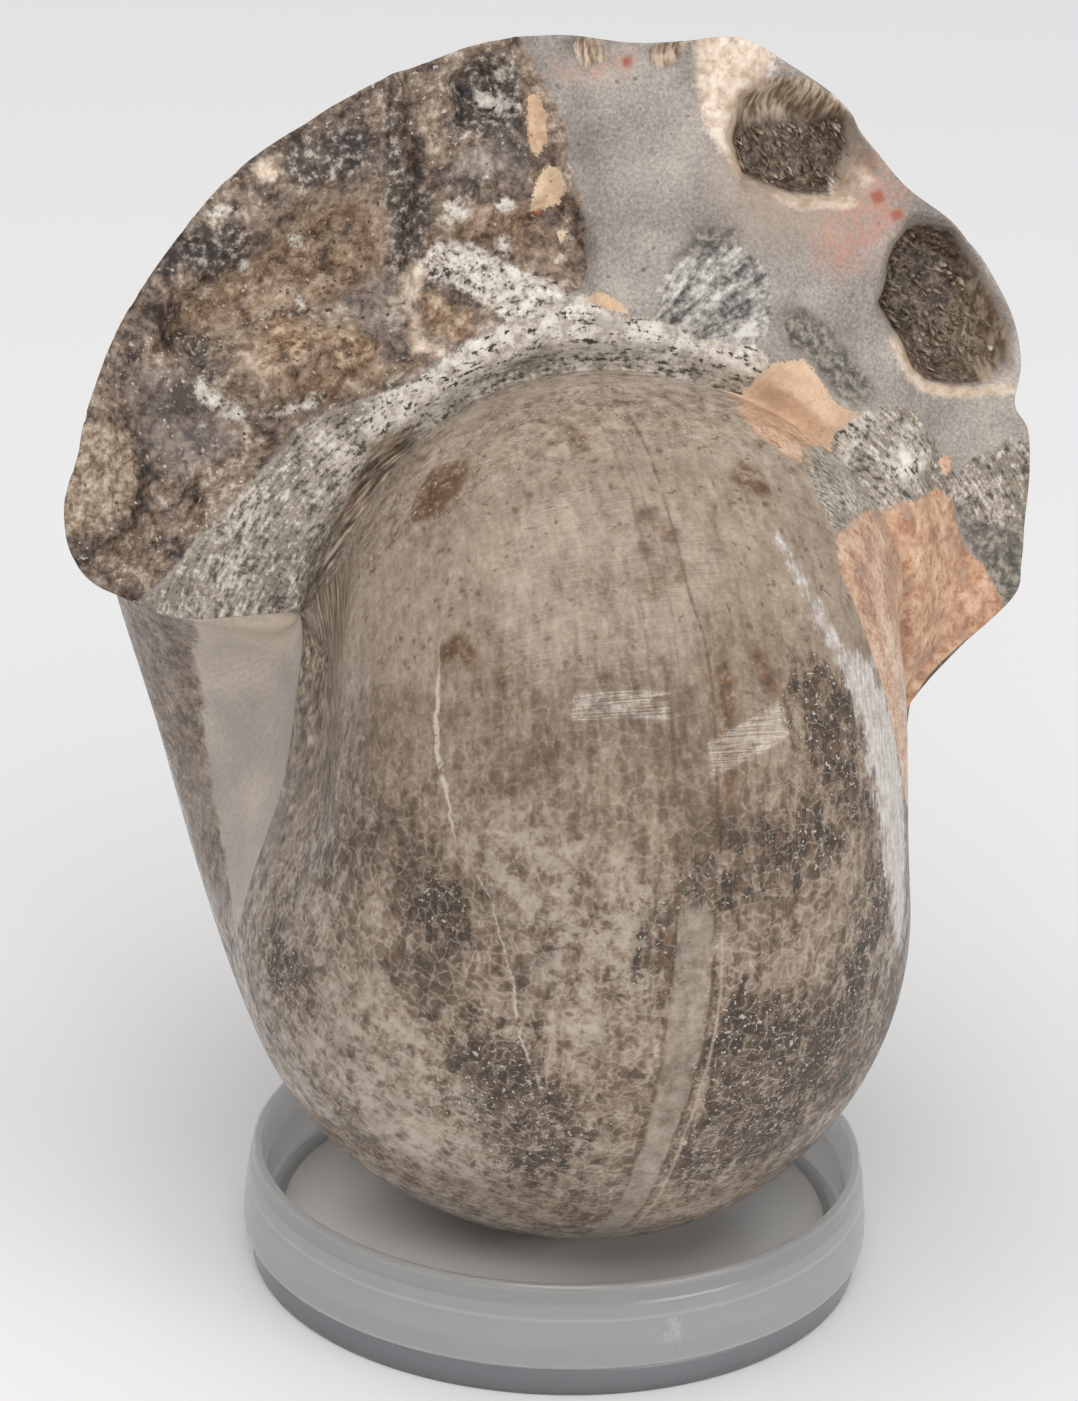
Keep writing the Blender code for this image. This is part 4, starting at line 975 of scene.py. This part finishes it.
def brokenStone():
    material, shader, wire = newMaterial("brokenStone", {"Specular IOR Level": 0.4, "IOR": 1.5})
    f = brokenFinish
    place = objectPlace(wire)
    flow, flat = flatPlace(wire, "flow"), flatPlace(wire, "flat")
    across, out, _ = flat.parts()
    cloudy, broad, chips, crumb, sand, spark, wander = [place.grain(*f[name]) for name in (
        "cloudy", "broad", "chips", "crumb", "sand", "spark", "wander")]
    mixed = broad * 0.5 + crumb * 0.5
    wanderSmall = (sand - 0.5) * 0.7
    wander = (wander - 0.5) * 1.6 + wanderSmall

    # grey-lilac matrix, finely grained and clouded, with dark specks, a beige and a reddish cloud
    colour = (cloudy * 0.5 + sand * 0.5 + across.step(34.0, 46.0) * 0.03).ramp(*f["matrix"])
    speck = place.cells(1.3).step(0.2, 0.15) * broad.step(0.52, 0.62)
    colour = (speck * 0.7).mix(colour, f["speck"])
    beige = (1.0 - (across - 20.0).squared() / 110.0 - (out - 51.0).squared() / 90.0).step(0.0, 0.9)
    colour = (beige * 0.5).mix(colour, f["beige"])
    red = wire.zone("red", 1.8, wander * 1.5, 0.4) * chips.step(0.25, 0.66)
    colour = (red * 0.62).mix(colour, f["redCloud"])
    colour = layered(colour, wander, f, [("slate", 0.9, crumb)])

    # the brown hollow side with its sparks, then its own parts; the black among them is partly dark stone and
    # partly painted shade in crevices
    sparks = spark.step(0.645, 0.675) * cloudy.step(0.44, 0.56)
    field = wire.zone("field", 0.15, wander)
    colour = field.mix(colour, (sparks * 0.8).mix(mixed.ramp(*f["brown"]), f["sparkle"]))
    colour = layered(colour, wander, f, [
        ("lilac", field * 0.5, mixed), ("tan", field * 0.8, crumb),
        ("golden", field * 0.8, broad * 0.3 + chips * 0.7), ("amber", 0.85, chips), ("black", 0.75, crumb)])

    # the peppered band, greyer low down
    pepper, peppered = pepperTones(place, flow, broad)
    low = out.step(27.0, 18.0) * 0.25 * peppered.step(0.59, 0.47)
    band = wire.zone("pepper", 0.25, wander)
    colour = band.mix(colour, low.mix(pepper, f["pepperLow"]))

    # its bright middle, stripes beside the seam, a fan of black and white streaks, and pale stone
    fanTurn = wire.math("ARCTAN2", out - 33.0, across - 0.5) * 9.5
    fanned = wire.node("ShaderNodeCombineXYZ", None, {0: fanTurn, 1: across * 0.16, 2: out * 0.1})
    colour = layered(colour, wander, f, [
        ("bright", band * peppered.step(0.39, 0.47) * 0.92, chips),
        ("stripes", 0.85, flow.streaks(0.25, 1.5, 0.65, 51.0)),
        ("fan", 0.95, fanned.grain(1.0, 3.0, 0.7, 3.0) * 0.55 + crumb * 0.45),
        ("white", crumb.step(0.34, 0.48), crumb * 0.6 + chips * 0.4), ("cream", 0.9, chips)])
    near = wire.zone("hollow", 2.0, wander * 0.8, -1.2) * wire.zone("cream", 0.5, wander)
    colour = (near * 0.65).mix(colour, f["nearPocket"])

    # orange calcite, red spots, and the pockets and pits: dark below, partly dark druse and partly painted
    # shade in the recess, with walls of pale upright streaks that are paler high in the upper pocket, where
    # cream calcite shows, and on the side pocket's right wall as painted light
    paler = out.step(23.0, 26.0) * 0.45 + out.step(44.0, 46.0) * 0.45 - out.step(52.6, 53.6) * 0.6
    wall = flat.streaks(1.5, 0.4, 0.7, 37.0).ramp(*f["wall"])
    high = (out + wander).step(54.6, 57.2).most((across - abs(out - 36.0) * 0.4).step(34.6, 36.6) * 0.6)
    colour = layered(colour, wanderSmall, f, [
        ("orange", 1.0, paler.mix(orangeTones(place, chips, crumb), f["orangePale"])),
        ("spots", 0.8, f["redSpot"]), ("hollow", 1.0, high.mix(crumb.ramp(*f["pocket"]), wall))])

    rough = wire.zone("field", 0.3).most(wire.zone("hollow", 0.3))
    height = place.facets(0.8) * (rough * 0.5 + 0.03) + sand * 0.07 + crumb * rough * 0.16
    connect(shader, Base_Color=colour, Roughness=0.66 - rough * 0.22, Normal=height.bumped(0.5))
    return material


polishedFinish = {
    # noises: size, detail, roughness and shift
    "broad": (7.0, 1.0, 0.65, 13.0), "patch": (1.5, 3.0, 0.68, 65.0), "fine": (0.45, 2.0, 0.6),
    "wander": (1.8, 2.0, 0.6, 21.0), "shaky": (2.5, 1.0, 0.6, 47.0),
    "bigCell": 1.25, "smallCell": 0.62,
    # tones: a place along a noise, and red, green and blue there
    "polish": ((0.0, 184, 170, 153), (0.2, 166, 149, 131), (0.38, 146, 129, 112), (0.56, 122, 104, 87),
               (0.74, 94, 79, 66), (0.95, 66, 56, 48)),
    "net": (183, 172, 158), "speck": (108, 82, 62), "sparkle": (206, 198, 188),
    "tube": ((0.38, 130, 118, 102), (0.5, 154, 143, 128), (0.64, 178, 168, 154)),
    # brown of the tube's lines, also used for the painted shadow band beside its pale end
    "tubeLineAndShade": (98, 72, 54), "paleLine": (186, 172, 154), "vein": (200, 190, 176),
    # streaks of the right flank's white: partly white stone, partly painted sheen
    "whiteAndSheen": ((0.38, 170, 161, 153), (0.5, 200, 193, 187), (0.62, 224, 220, 216)),
    # zones: how far the edge wanders and how soft it is, and tones where they aren't worked out
    "rust": (0.6, 0.6, (0.4, 62, 42, 28), (0.5, 108, 78, 54), (0.62, 160, 128, 98)),
    "stripes": (1.0, 1.8,
                (0.36, 72, 61, 52), (0.46, 116, 100, 86), (0.56, 146, 130, 113), (0.68, 192, 176, 158)),
    "field": (2.0, 0.9,
              (0.38, 66, 55, 48), (0.47, 110, 94, 81), (0.54, 136, 119, 105), (0.64, 172, 157, 142)),
    "cream": (0.6, 0.3, (0.4, 164, 154, 146), (0.52, 184, 171, 159), (0.66, 206, 190, 173)),
    "pepper": (1.0, 0.4), "orange": (0.5, 0.25),
    # where lines run: a share of the turn back, and the column as a share of 180 degrees
    "leftEdge": (
        (0.0, 0.47), (0.597, 0.470), (0.68, 0.474), (0.833, 0.474), (0.861, 0.4728), (0.917, 0.4694),
        (1.0, 0.45)),
    "rightEdge": (
        (0.0, 0.5), (0.611, 0.4928), (0.639, 0.4989), (0.667, 0.5039), (0.708, 0.5039), (0.75, 0.5061),
        (0.806, 0.5078), (0.833, 0.5006), (0.861, 0.4989), (0.917, 0.4956), (1.0, 0.48)),
    "veinAt": (
        (0.0, 0.36), (0.6, 0.412), (0.625, 0.400), (0.647, 0.378), (0.686, 0.354), (0.717, 0.330),
        (0.728, 0.311), (0.747, 0.302), (0.778, 0.292), (0.806, 0.294), (0.839, 0.304), (0.858, 0.316),
        (0.889, 0.339), (1.0, 0.42)),
}


def polishedStone():
    material, shader, wire = newMaterial("polishedStone", {
        "IOR": 1.45, "Specular IOR Level": 0.3, "Coat IOR": 1.5, "Coat Roughness": 0.05})
    f = polishedFinish
    place, flow = objectPlace(wire), flatPlace(wire, "flow")
    column, back, _ = flow.parts()
    broad, patch, fine, wander, shaky = [place.grain(*f[name]) for name in (
        "broad", "patch", "fine", "wander", "shaky")]
    drawn = flow.streaks(1.2, 0.35, 0.65, size=2.0)
    wander = (wander - 0.5) * 2.2 + (fine - 0.5) * 0.9
    shaky = (shaky - 0.5) * 0.9
    worn = patch * 0.6 + fine * 0.4
    lower = back.step(300.0, 238.0)
    upper = back.step(318.0, 332.0)

    # how dark the stone is here: clouds, streams along the growth, mottled zones and the lower half
    mottle = wire.zone("mottle", 2.2, wander * 2.8 + (drawn - 0.5) * 6.0)
    lowRight = column.step(95.0, 108.0) * back.step(250.0, 228.0)
    paleNet = wire.zone("paleNet", 2.2, wander * 2.2)
    beside = abs(column - 88.0).step(10.0, 60.0)
    waist = abs(back - 273.0).step(42.0, 5.0)
    clouds = (broad + drawn - 1.0) * (0.5 + lower * 0.2)
    dark = (lower * 0.26 + upper * 0.03 + waist * 0.2 + beside * 0.05 + clouds
            + (patch - 0.5) * (0.36 + upper * 0.8) + mottle * 0.28 + lowRight * 0.24 - paleNet * 0.13)

    # cells of two sizes, pushed about, darker inside and edged by a pale net
    bent = place.bent(1.8, 2.2)
    bigEdge = bent.cells(f["bigCell"], "DISTANCE_TO_EDGE") + (fine - 0.5) * 0.14
    fromMiddle, bigTone = bent.cells(f["bigCell"], out=("Distance", "Color"))
    smallTone = bent.cells(f["smallCell"], out="Color")
    cellTone = (bigTone.red() - 0.5) * 0.25 + (smallTone.red() - 0.5) * 0.18
    celled = (lower * 0.7 + mottle * 0.5 + upper * 0.3 + 0.2).least(1.0)
    level = dark + (cellTone - bigEdge.step(0.18, 0.0) * 0.16) * celled + (fine - 0.5) * 0.44 + 0.28
    net = bigEdge.step(0.09, 0.01) * celled * patch.step(0.6, 0.42) * (paleNet * 0.4 + 0.28)
    veil = paleNet * patch.step(0.56, 0.4) * 0.5
    colour = net.most(veil).mix(level.ramp(*f["polish"]), f["net"])
    speck = fromMiddle.step(0.3, 0.2) * patch.step(0.47, 0.56)
    colour = (speck * 0.7).mix(colour, f["speck"])
    spark = fine.step(0.61, 0.66) * (mottle * 0.6 + upper * 0.5 + 0.1)
    colour = spark.mix(colour, f["sparkle"])
    colour = layered(colour, wander, f, [("rust", patch.step(0.64, 0.5) * 0.85, worn)])

    # the chambers' tube along the outer curve, its pale end, and a painted shadow band beside that end
    leftEdge, rightEdge, veinAt = [(back / 360.0).along(*f[name]) * 180.0 for name in (
        "leftEdge", "rightEdge", "veinAt")]
    seen = back.step(150.0, 200.0) * back.step(342.0, 326.0)
    fromLeft, fromRight = column - leftEdge, column - rightEdge
    within = (fromLeft + shaky).step(0.0, 0.5) * (fromRight + shaky).step(0.0, -0.5) * seen
    low = (back + ((column - 88.0) / 2.7).squared() * 2.0).step(257.0, 255.0)
    colour = (within * (low * 0.55 + 0.05)).mix(colour, patch.ramp(*f["tube"]))
    leftLine = abs(fromLeft + shaky * 1.3).step(0.6, 0.0)
    rightLine = abs(fromRight + shaky * 0.5).step(0.45, 0.05)
    outerLine = abs(fromLeft + shaky + 2.1).step(0.4, 0.0) * back.step(258.0, 264.0) * back.step(304.0, 298.0)
    middleLine = abs(fromLeft + shaky - 1.9).step(0.22, 0.02) * back.step(258.0, 262.0)
    # a painted shadow band on the left of the tube's pale end
    shadeBand = abs(column - 84.4).step(1.1, 0.44) * abs(back - 250.0).step(9.0, 5.4)
    lines = (leftLine * 0.6).most(rightLine * 0.9).most(outerLine * 0.5).most(middleLine * 0.4)
    lines = lines * seen * patch.step(0.34, 0.54)
    lines = lines.most(shadeBand * patch.step(0.36, 0.6) * 0.7)
    colour = (lines * 0.8).mix(colour, f["tubeLineAndShade"])
    paleLine = abs(fromRight + shaky * 0.5 - 1.1).step(0.35, 0.05) * seen * low
    colour = (paleLine * 0.5).mix(colour, f["paleLine"])

    # a pale vein down the left front
    veinWidth = back.step(256.0, 240.0) * 0.1 + back.step(262.0, 276.0) * back.step(296.0, 284.0) * 0.3 + 0.28
    vein = (veinWidth - abs(column + shaky + wander * 0.6 - veinAt)).step(0.0, 0.4) * back.step(222.0, 232.0)
    vein = vein * back.step(322.0, 314.0) * (1.0 - back.step(292.0, 302.0) * 0.6) * patch.step(0.64, 0.5)
    colour = (vein * 0.8).mix(colour, f["vein"])

    # stripes beside the hub, then the parts where another stone shows
    creamy = broad * 0.5 + fine * 0.3 + 0.24 - back.step(60.0, 130.0) * 0.22
    colour = layered(colour, wander, f, [
        ("stripes", 0.85, flow.streaks(0.9, 0.05, 0.7, 5.0) * 0.7 + patch * 0.3),
        ("field", 0.85, worn), ("cream", 1.0, creamy)])
    # the white on the right flank, streaked along the growth: partly white stone, partly painted sheen of the
    # light
    whiteAndSheen = flow.streaks(1.6, 0.22, 0.7, 77.0) * 0.6 + patch * 0.4
    white = wire.zone("white", 0.9, wander * 1.6 + (whiteAndSheen - 0.5) * 2.4)
    colour = (white * 0.9).mix(colour, (whiteAndSheen * 0.7 + fine * 0.3).ramp(*f["whiteAndSheen"]))
    colour = layered(colour, wander, f, [
        ("pepper", 1.0, pepperTones(place, flow, broad)[0]), ("orange", 1.0, orangeTones(place, patch, fine))])

    # level rubbing marks that show only where the gloss is
    rubbed = flow.streaks(0.10, 4.5, 0.8, 61.0)
    dull = level.step(0.3, 0.8)
    connect(shader, Base_Color=colour, Roughness=0.4 + dull * 0.16 + (rubbed - 0.5) * 0.5,
            Normal=(fine * 0.14 + rubbed * 0.30).bumped(0.12),
            Coat_Weight=(0.9 - dull * 0.6) * rubbed.step(0.38, 0.6))
    return material


# Crystals' and plastic's finishes

crystalTones = {
    "smokyCrystal": ((0.08, 60, 51, 44), (0.32, 98, 84, 71), (0.5, 126, 109, 92), (0.72, 152, 135, 116),
                     (0.98, 216, 206, 192)),
    "brownCrystal": ((0.08, 52, 44, 39), (0.32, 96, 80, 67), (0.5, 134, 115, 96), (0.68, 168, 150, 128),
                     (0.95, 220, 212, 200)),
}


def crystalMaterial(name, stops):
    material, shader, wire = newMaterial(name, {"Roughness": 0.3, "IOR": 1.5, "Specular IOR Level": 0.4})
    mixed = wire.kept("shade") + (objectPlace(wire).grain(0.8, 3.0, 0.6) - 0.5) * 0.7
    connect(shader, Base_Color=mixed.ramp(*stops))
    return material


plasticFinish = {
    # a share of 12 mm height, and red, green and blue there: painted shade in the grey foot, where the ground
    # shows through in shadow, painted highlights as pale lines where it turns, and a painted dark line at the
    # step to the foot
    "tones": (
        (0.0, 150, 153, 158), (0.20, 164, 167, 172), (0.245, 196, 198, 202), (0.262, 130, 133, 138),
        (0.285, 224, 225, 227), (0.31, 200, 202, 204), (0.66, 196, 198, 200), (0.68, 226, 227, 229),
        (0.70, 200, 202, 204), (0.90, 196, 198, 201), (0.93, 236, 237, 239), (0.97, 240, 241, 243)),
    # plate: the inside of the wall and the floor painted paler, painted light for what would come through the
    # clear wall; scuff: a real white scuff
    "plate": (240, 239, 235), "scuff": (250, 250, 250),
    # how far each finish is see-through, and how milky
    "wall": (0.4, 1.0), "floor": (0.05, 0.0),
    "scatter": 12.0,                    # how far light spreads in it
}


def clearPlastic(name, clear, milky):
    # milky at the wall, with painted shade in the greyer foot, painted highlights as pale lines where the
    # profile turns, and painted light on the paler inside
    f = plasticFinish
    material, shader, wire = newMaterial(name, {
        "IOR": 1.49, "Transmission Weight": clear, "Subsurface Weight": milky,
        "Subsurface Scale": f["scatter"] * mm, "Subsurface Radius": (1.0, 1.0, 1.0)})
    place = objectPlace(wire)
    x, y, z = place.parts()
    z = z + (place.grain(3.0, 2.0, 0.5) - 0.5) * 0.15
    apart = wire.math("SQRT", (x - coil["stand"][0]).squared() + (y - coil["stand"][1]).squared())
    # the inside of the wall and the floor painted paler: painted light
    within = apart.step(28.8, 28.4) * z.step(3.4, 3.9)
    tones = within.mix((z / 12.0).ramp(*f["tones"]), f["plate"])
    aside, above = [((at - middle) / half).squared() for at, middle, half in zip(
        (x, z), dishForm["scuffAt"], dishForm["scuffSize"])]
    scuff = (1.0 - aside - above + (place.grain(0.8, 3.0, 0.7, 5.0) - 0.5) * 4.0).step(0.0, 1.2)
    scuff = scuff * y.step(-24.0, -30.0)
    smear = place.grain(5.0, 4.0, 0.6)
    connect(shader, Base_Color=(scuff * 0.6).mix(tones, f["scuff"]),
            Roughness=smear * 0.16 + scuff * 0.4 + 0.12)
    return material


# Floor, light and camera

studio = {
    "floorTone": (242, 242, 242), "floorSize": 3000.0,
    "sky": 0.48, "skyTone": (250, 251, 255),
    "lights": (                         # turn to the right of the front, height in degrees, distance,
                                        # size across and high, power
        ("softTop", -20.0, 72.0, 1600.0, (2000.0, 2000.0), 17.0),
        ("windowLeft", 2.0, 37.0, 1100.0, (590.0, 150.0), 2.2),
        ("windowRight", 51.0, 21.0, 1100.0, (700.0, 170.0), 2.6)),
    "lightTone": (255, 253, 249),
}
view = {
    "target": (-1.0, -5.6, 57.2), "distance": 500.0, "height": 22.3, "roll": 2.0,
    "focal": 5376.0, "frameHigh": 1401.0, "sensor": 36.0,
}


def makeStudio():
    half = studio["floorSize"] / 2 * mm
    mesh = bpy.data.meshes.new("floor")
    corners = [(-half, -half, 0), (half, -half, 0), (half, half, 0), (-half, half, 0)]
    mesh.from_pydata(corners, [], [(0, 1, 2, 3)])
    floor = bpy.data.objects.new("floor", mesh)
    bpy.context.scene.collection.objects.link(floor)
    pale = {"Base Color": tone(*studio["floorTone"]), "Roughness": 0.9, "Specular IOR Level": 0.1}
    mesh.materials.append(newMaterial("paleFloor", pale)[0])
    world = bpy.data.worlds.new("sky")
    world.use_nodes = True
    background = world.node_tree.nodes["Background"]
    background.inputs["Color"].default_value = tone(*studio["skyTone"])
    background.inputs["Strength"].default_value = studio["sky"]
    bpy.context.scene.world = world
    for name, turn, height, distance, size, power in studio["lights"]:
        light = bpy.data.lights.new(name, "AREA")
        light.shape = "RECTANGLE"
        light.size, light.size_y = size[0] * mm, size[1] * mm
        light.energy = power
        light.color = tone(*studio["lightTone"])[:3]
        lamp = bpy.data.objects.new(name, light)
        turn, height = math.radians(turn), math.radians(height)
        away = math.cos(height) * np.array([math.sin(turn), -math.cos(turn), math.tan(height)])
        lamp.location = (np.array(view["target"]) + away * distance) * mm
        lamp.rotation_euler = lookAlong(-away).to_euler()
        bpy.context.scene.collection.objects.link(lamp)


def lookAlong(way, roll=0.0):
    # turn that points -Z along way with +Y as high as it can be, then rolled about it
    back = -Vector(way).normalized()
    right = Vector((0, 0, 1)).cross(back).normalized()
    high = back.cross(right)
    spun = right * math.cos(roll) + high * math.sin(roll)
    return Matrix((spun, back.cross(spun), back)).transposed()


def makeCamera():
    camera = bpy.data.objects.new("camera", bpy.data.cameras.new("camera"))
    tilt = math.radians(view["height"])
    away = np.array([0.0, -math.cos(tilt), math.sin(tilt)])
    camera.location = (np.array(view["target"]) + away * view["distance"]) * mm
    camera.rotation_euler = lookAlong(-away, math.radians(view["roll"])).to_euler()
    camera.data.sensor_width = view["sensor"]
    camera.data.lens = view["focal"] / view["frameHigh"] * view["sensor"]
    camera.data.clip_start = 0.01
    bpy.context.scene.collection.objects.link(camera)
    bpy.context.scene.camera = camera


makeCamera()
makeStudio()
bpy.context.scene.view_settings.view_transform = "Standard"
print("camera, floor and light placed")
makeStone([polishedStone(), brokenStone()])
print("stone made")
finishes = {name: crystalMaterial(name, stops) for name, stops in crystalTones.items()}
for name, bed in crystalBeds.items():
    makeCrystals(name, bed, finishes[bed["finish"]])
plastics = [("clearPlastic", "wall"), ("milkyPlastic", "floor")]
makeDish([clearPlastic(name, *plasticFinish[part]) for name, part in plastics])
print("dish made")
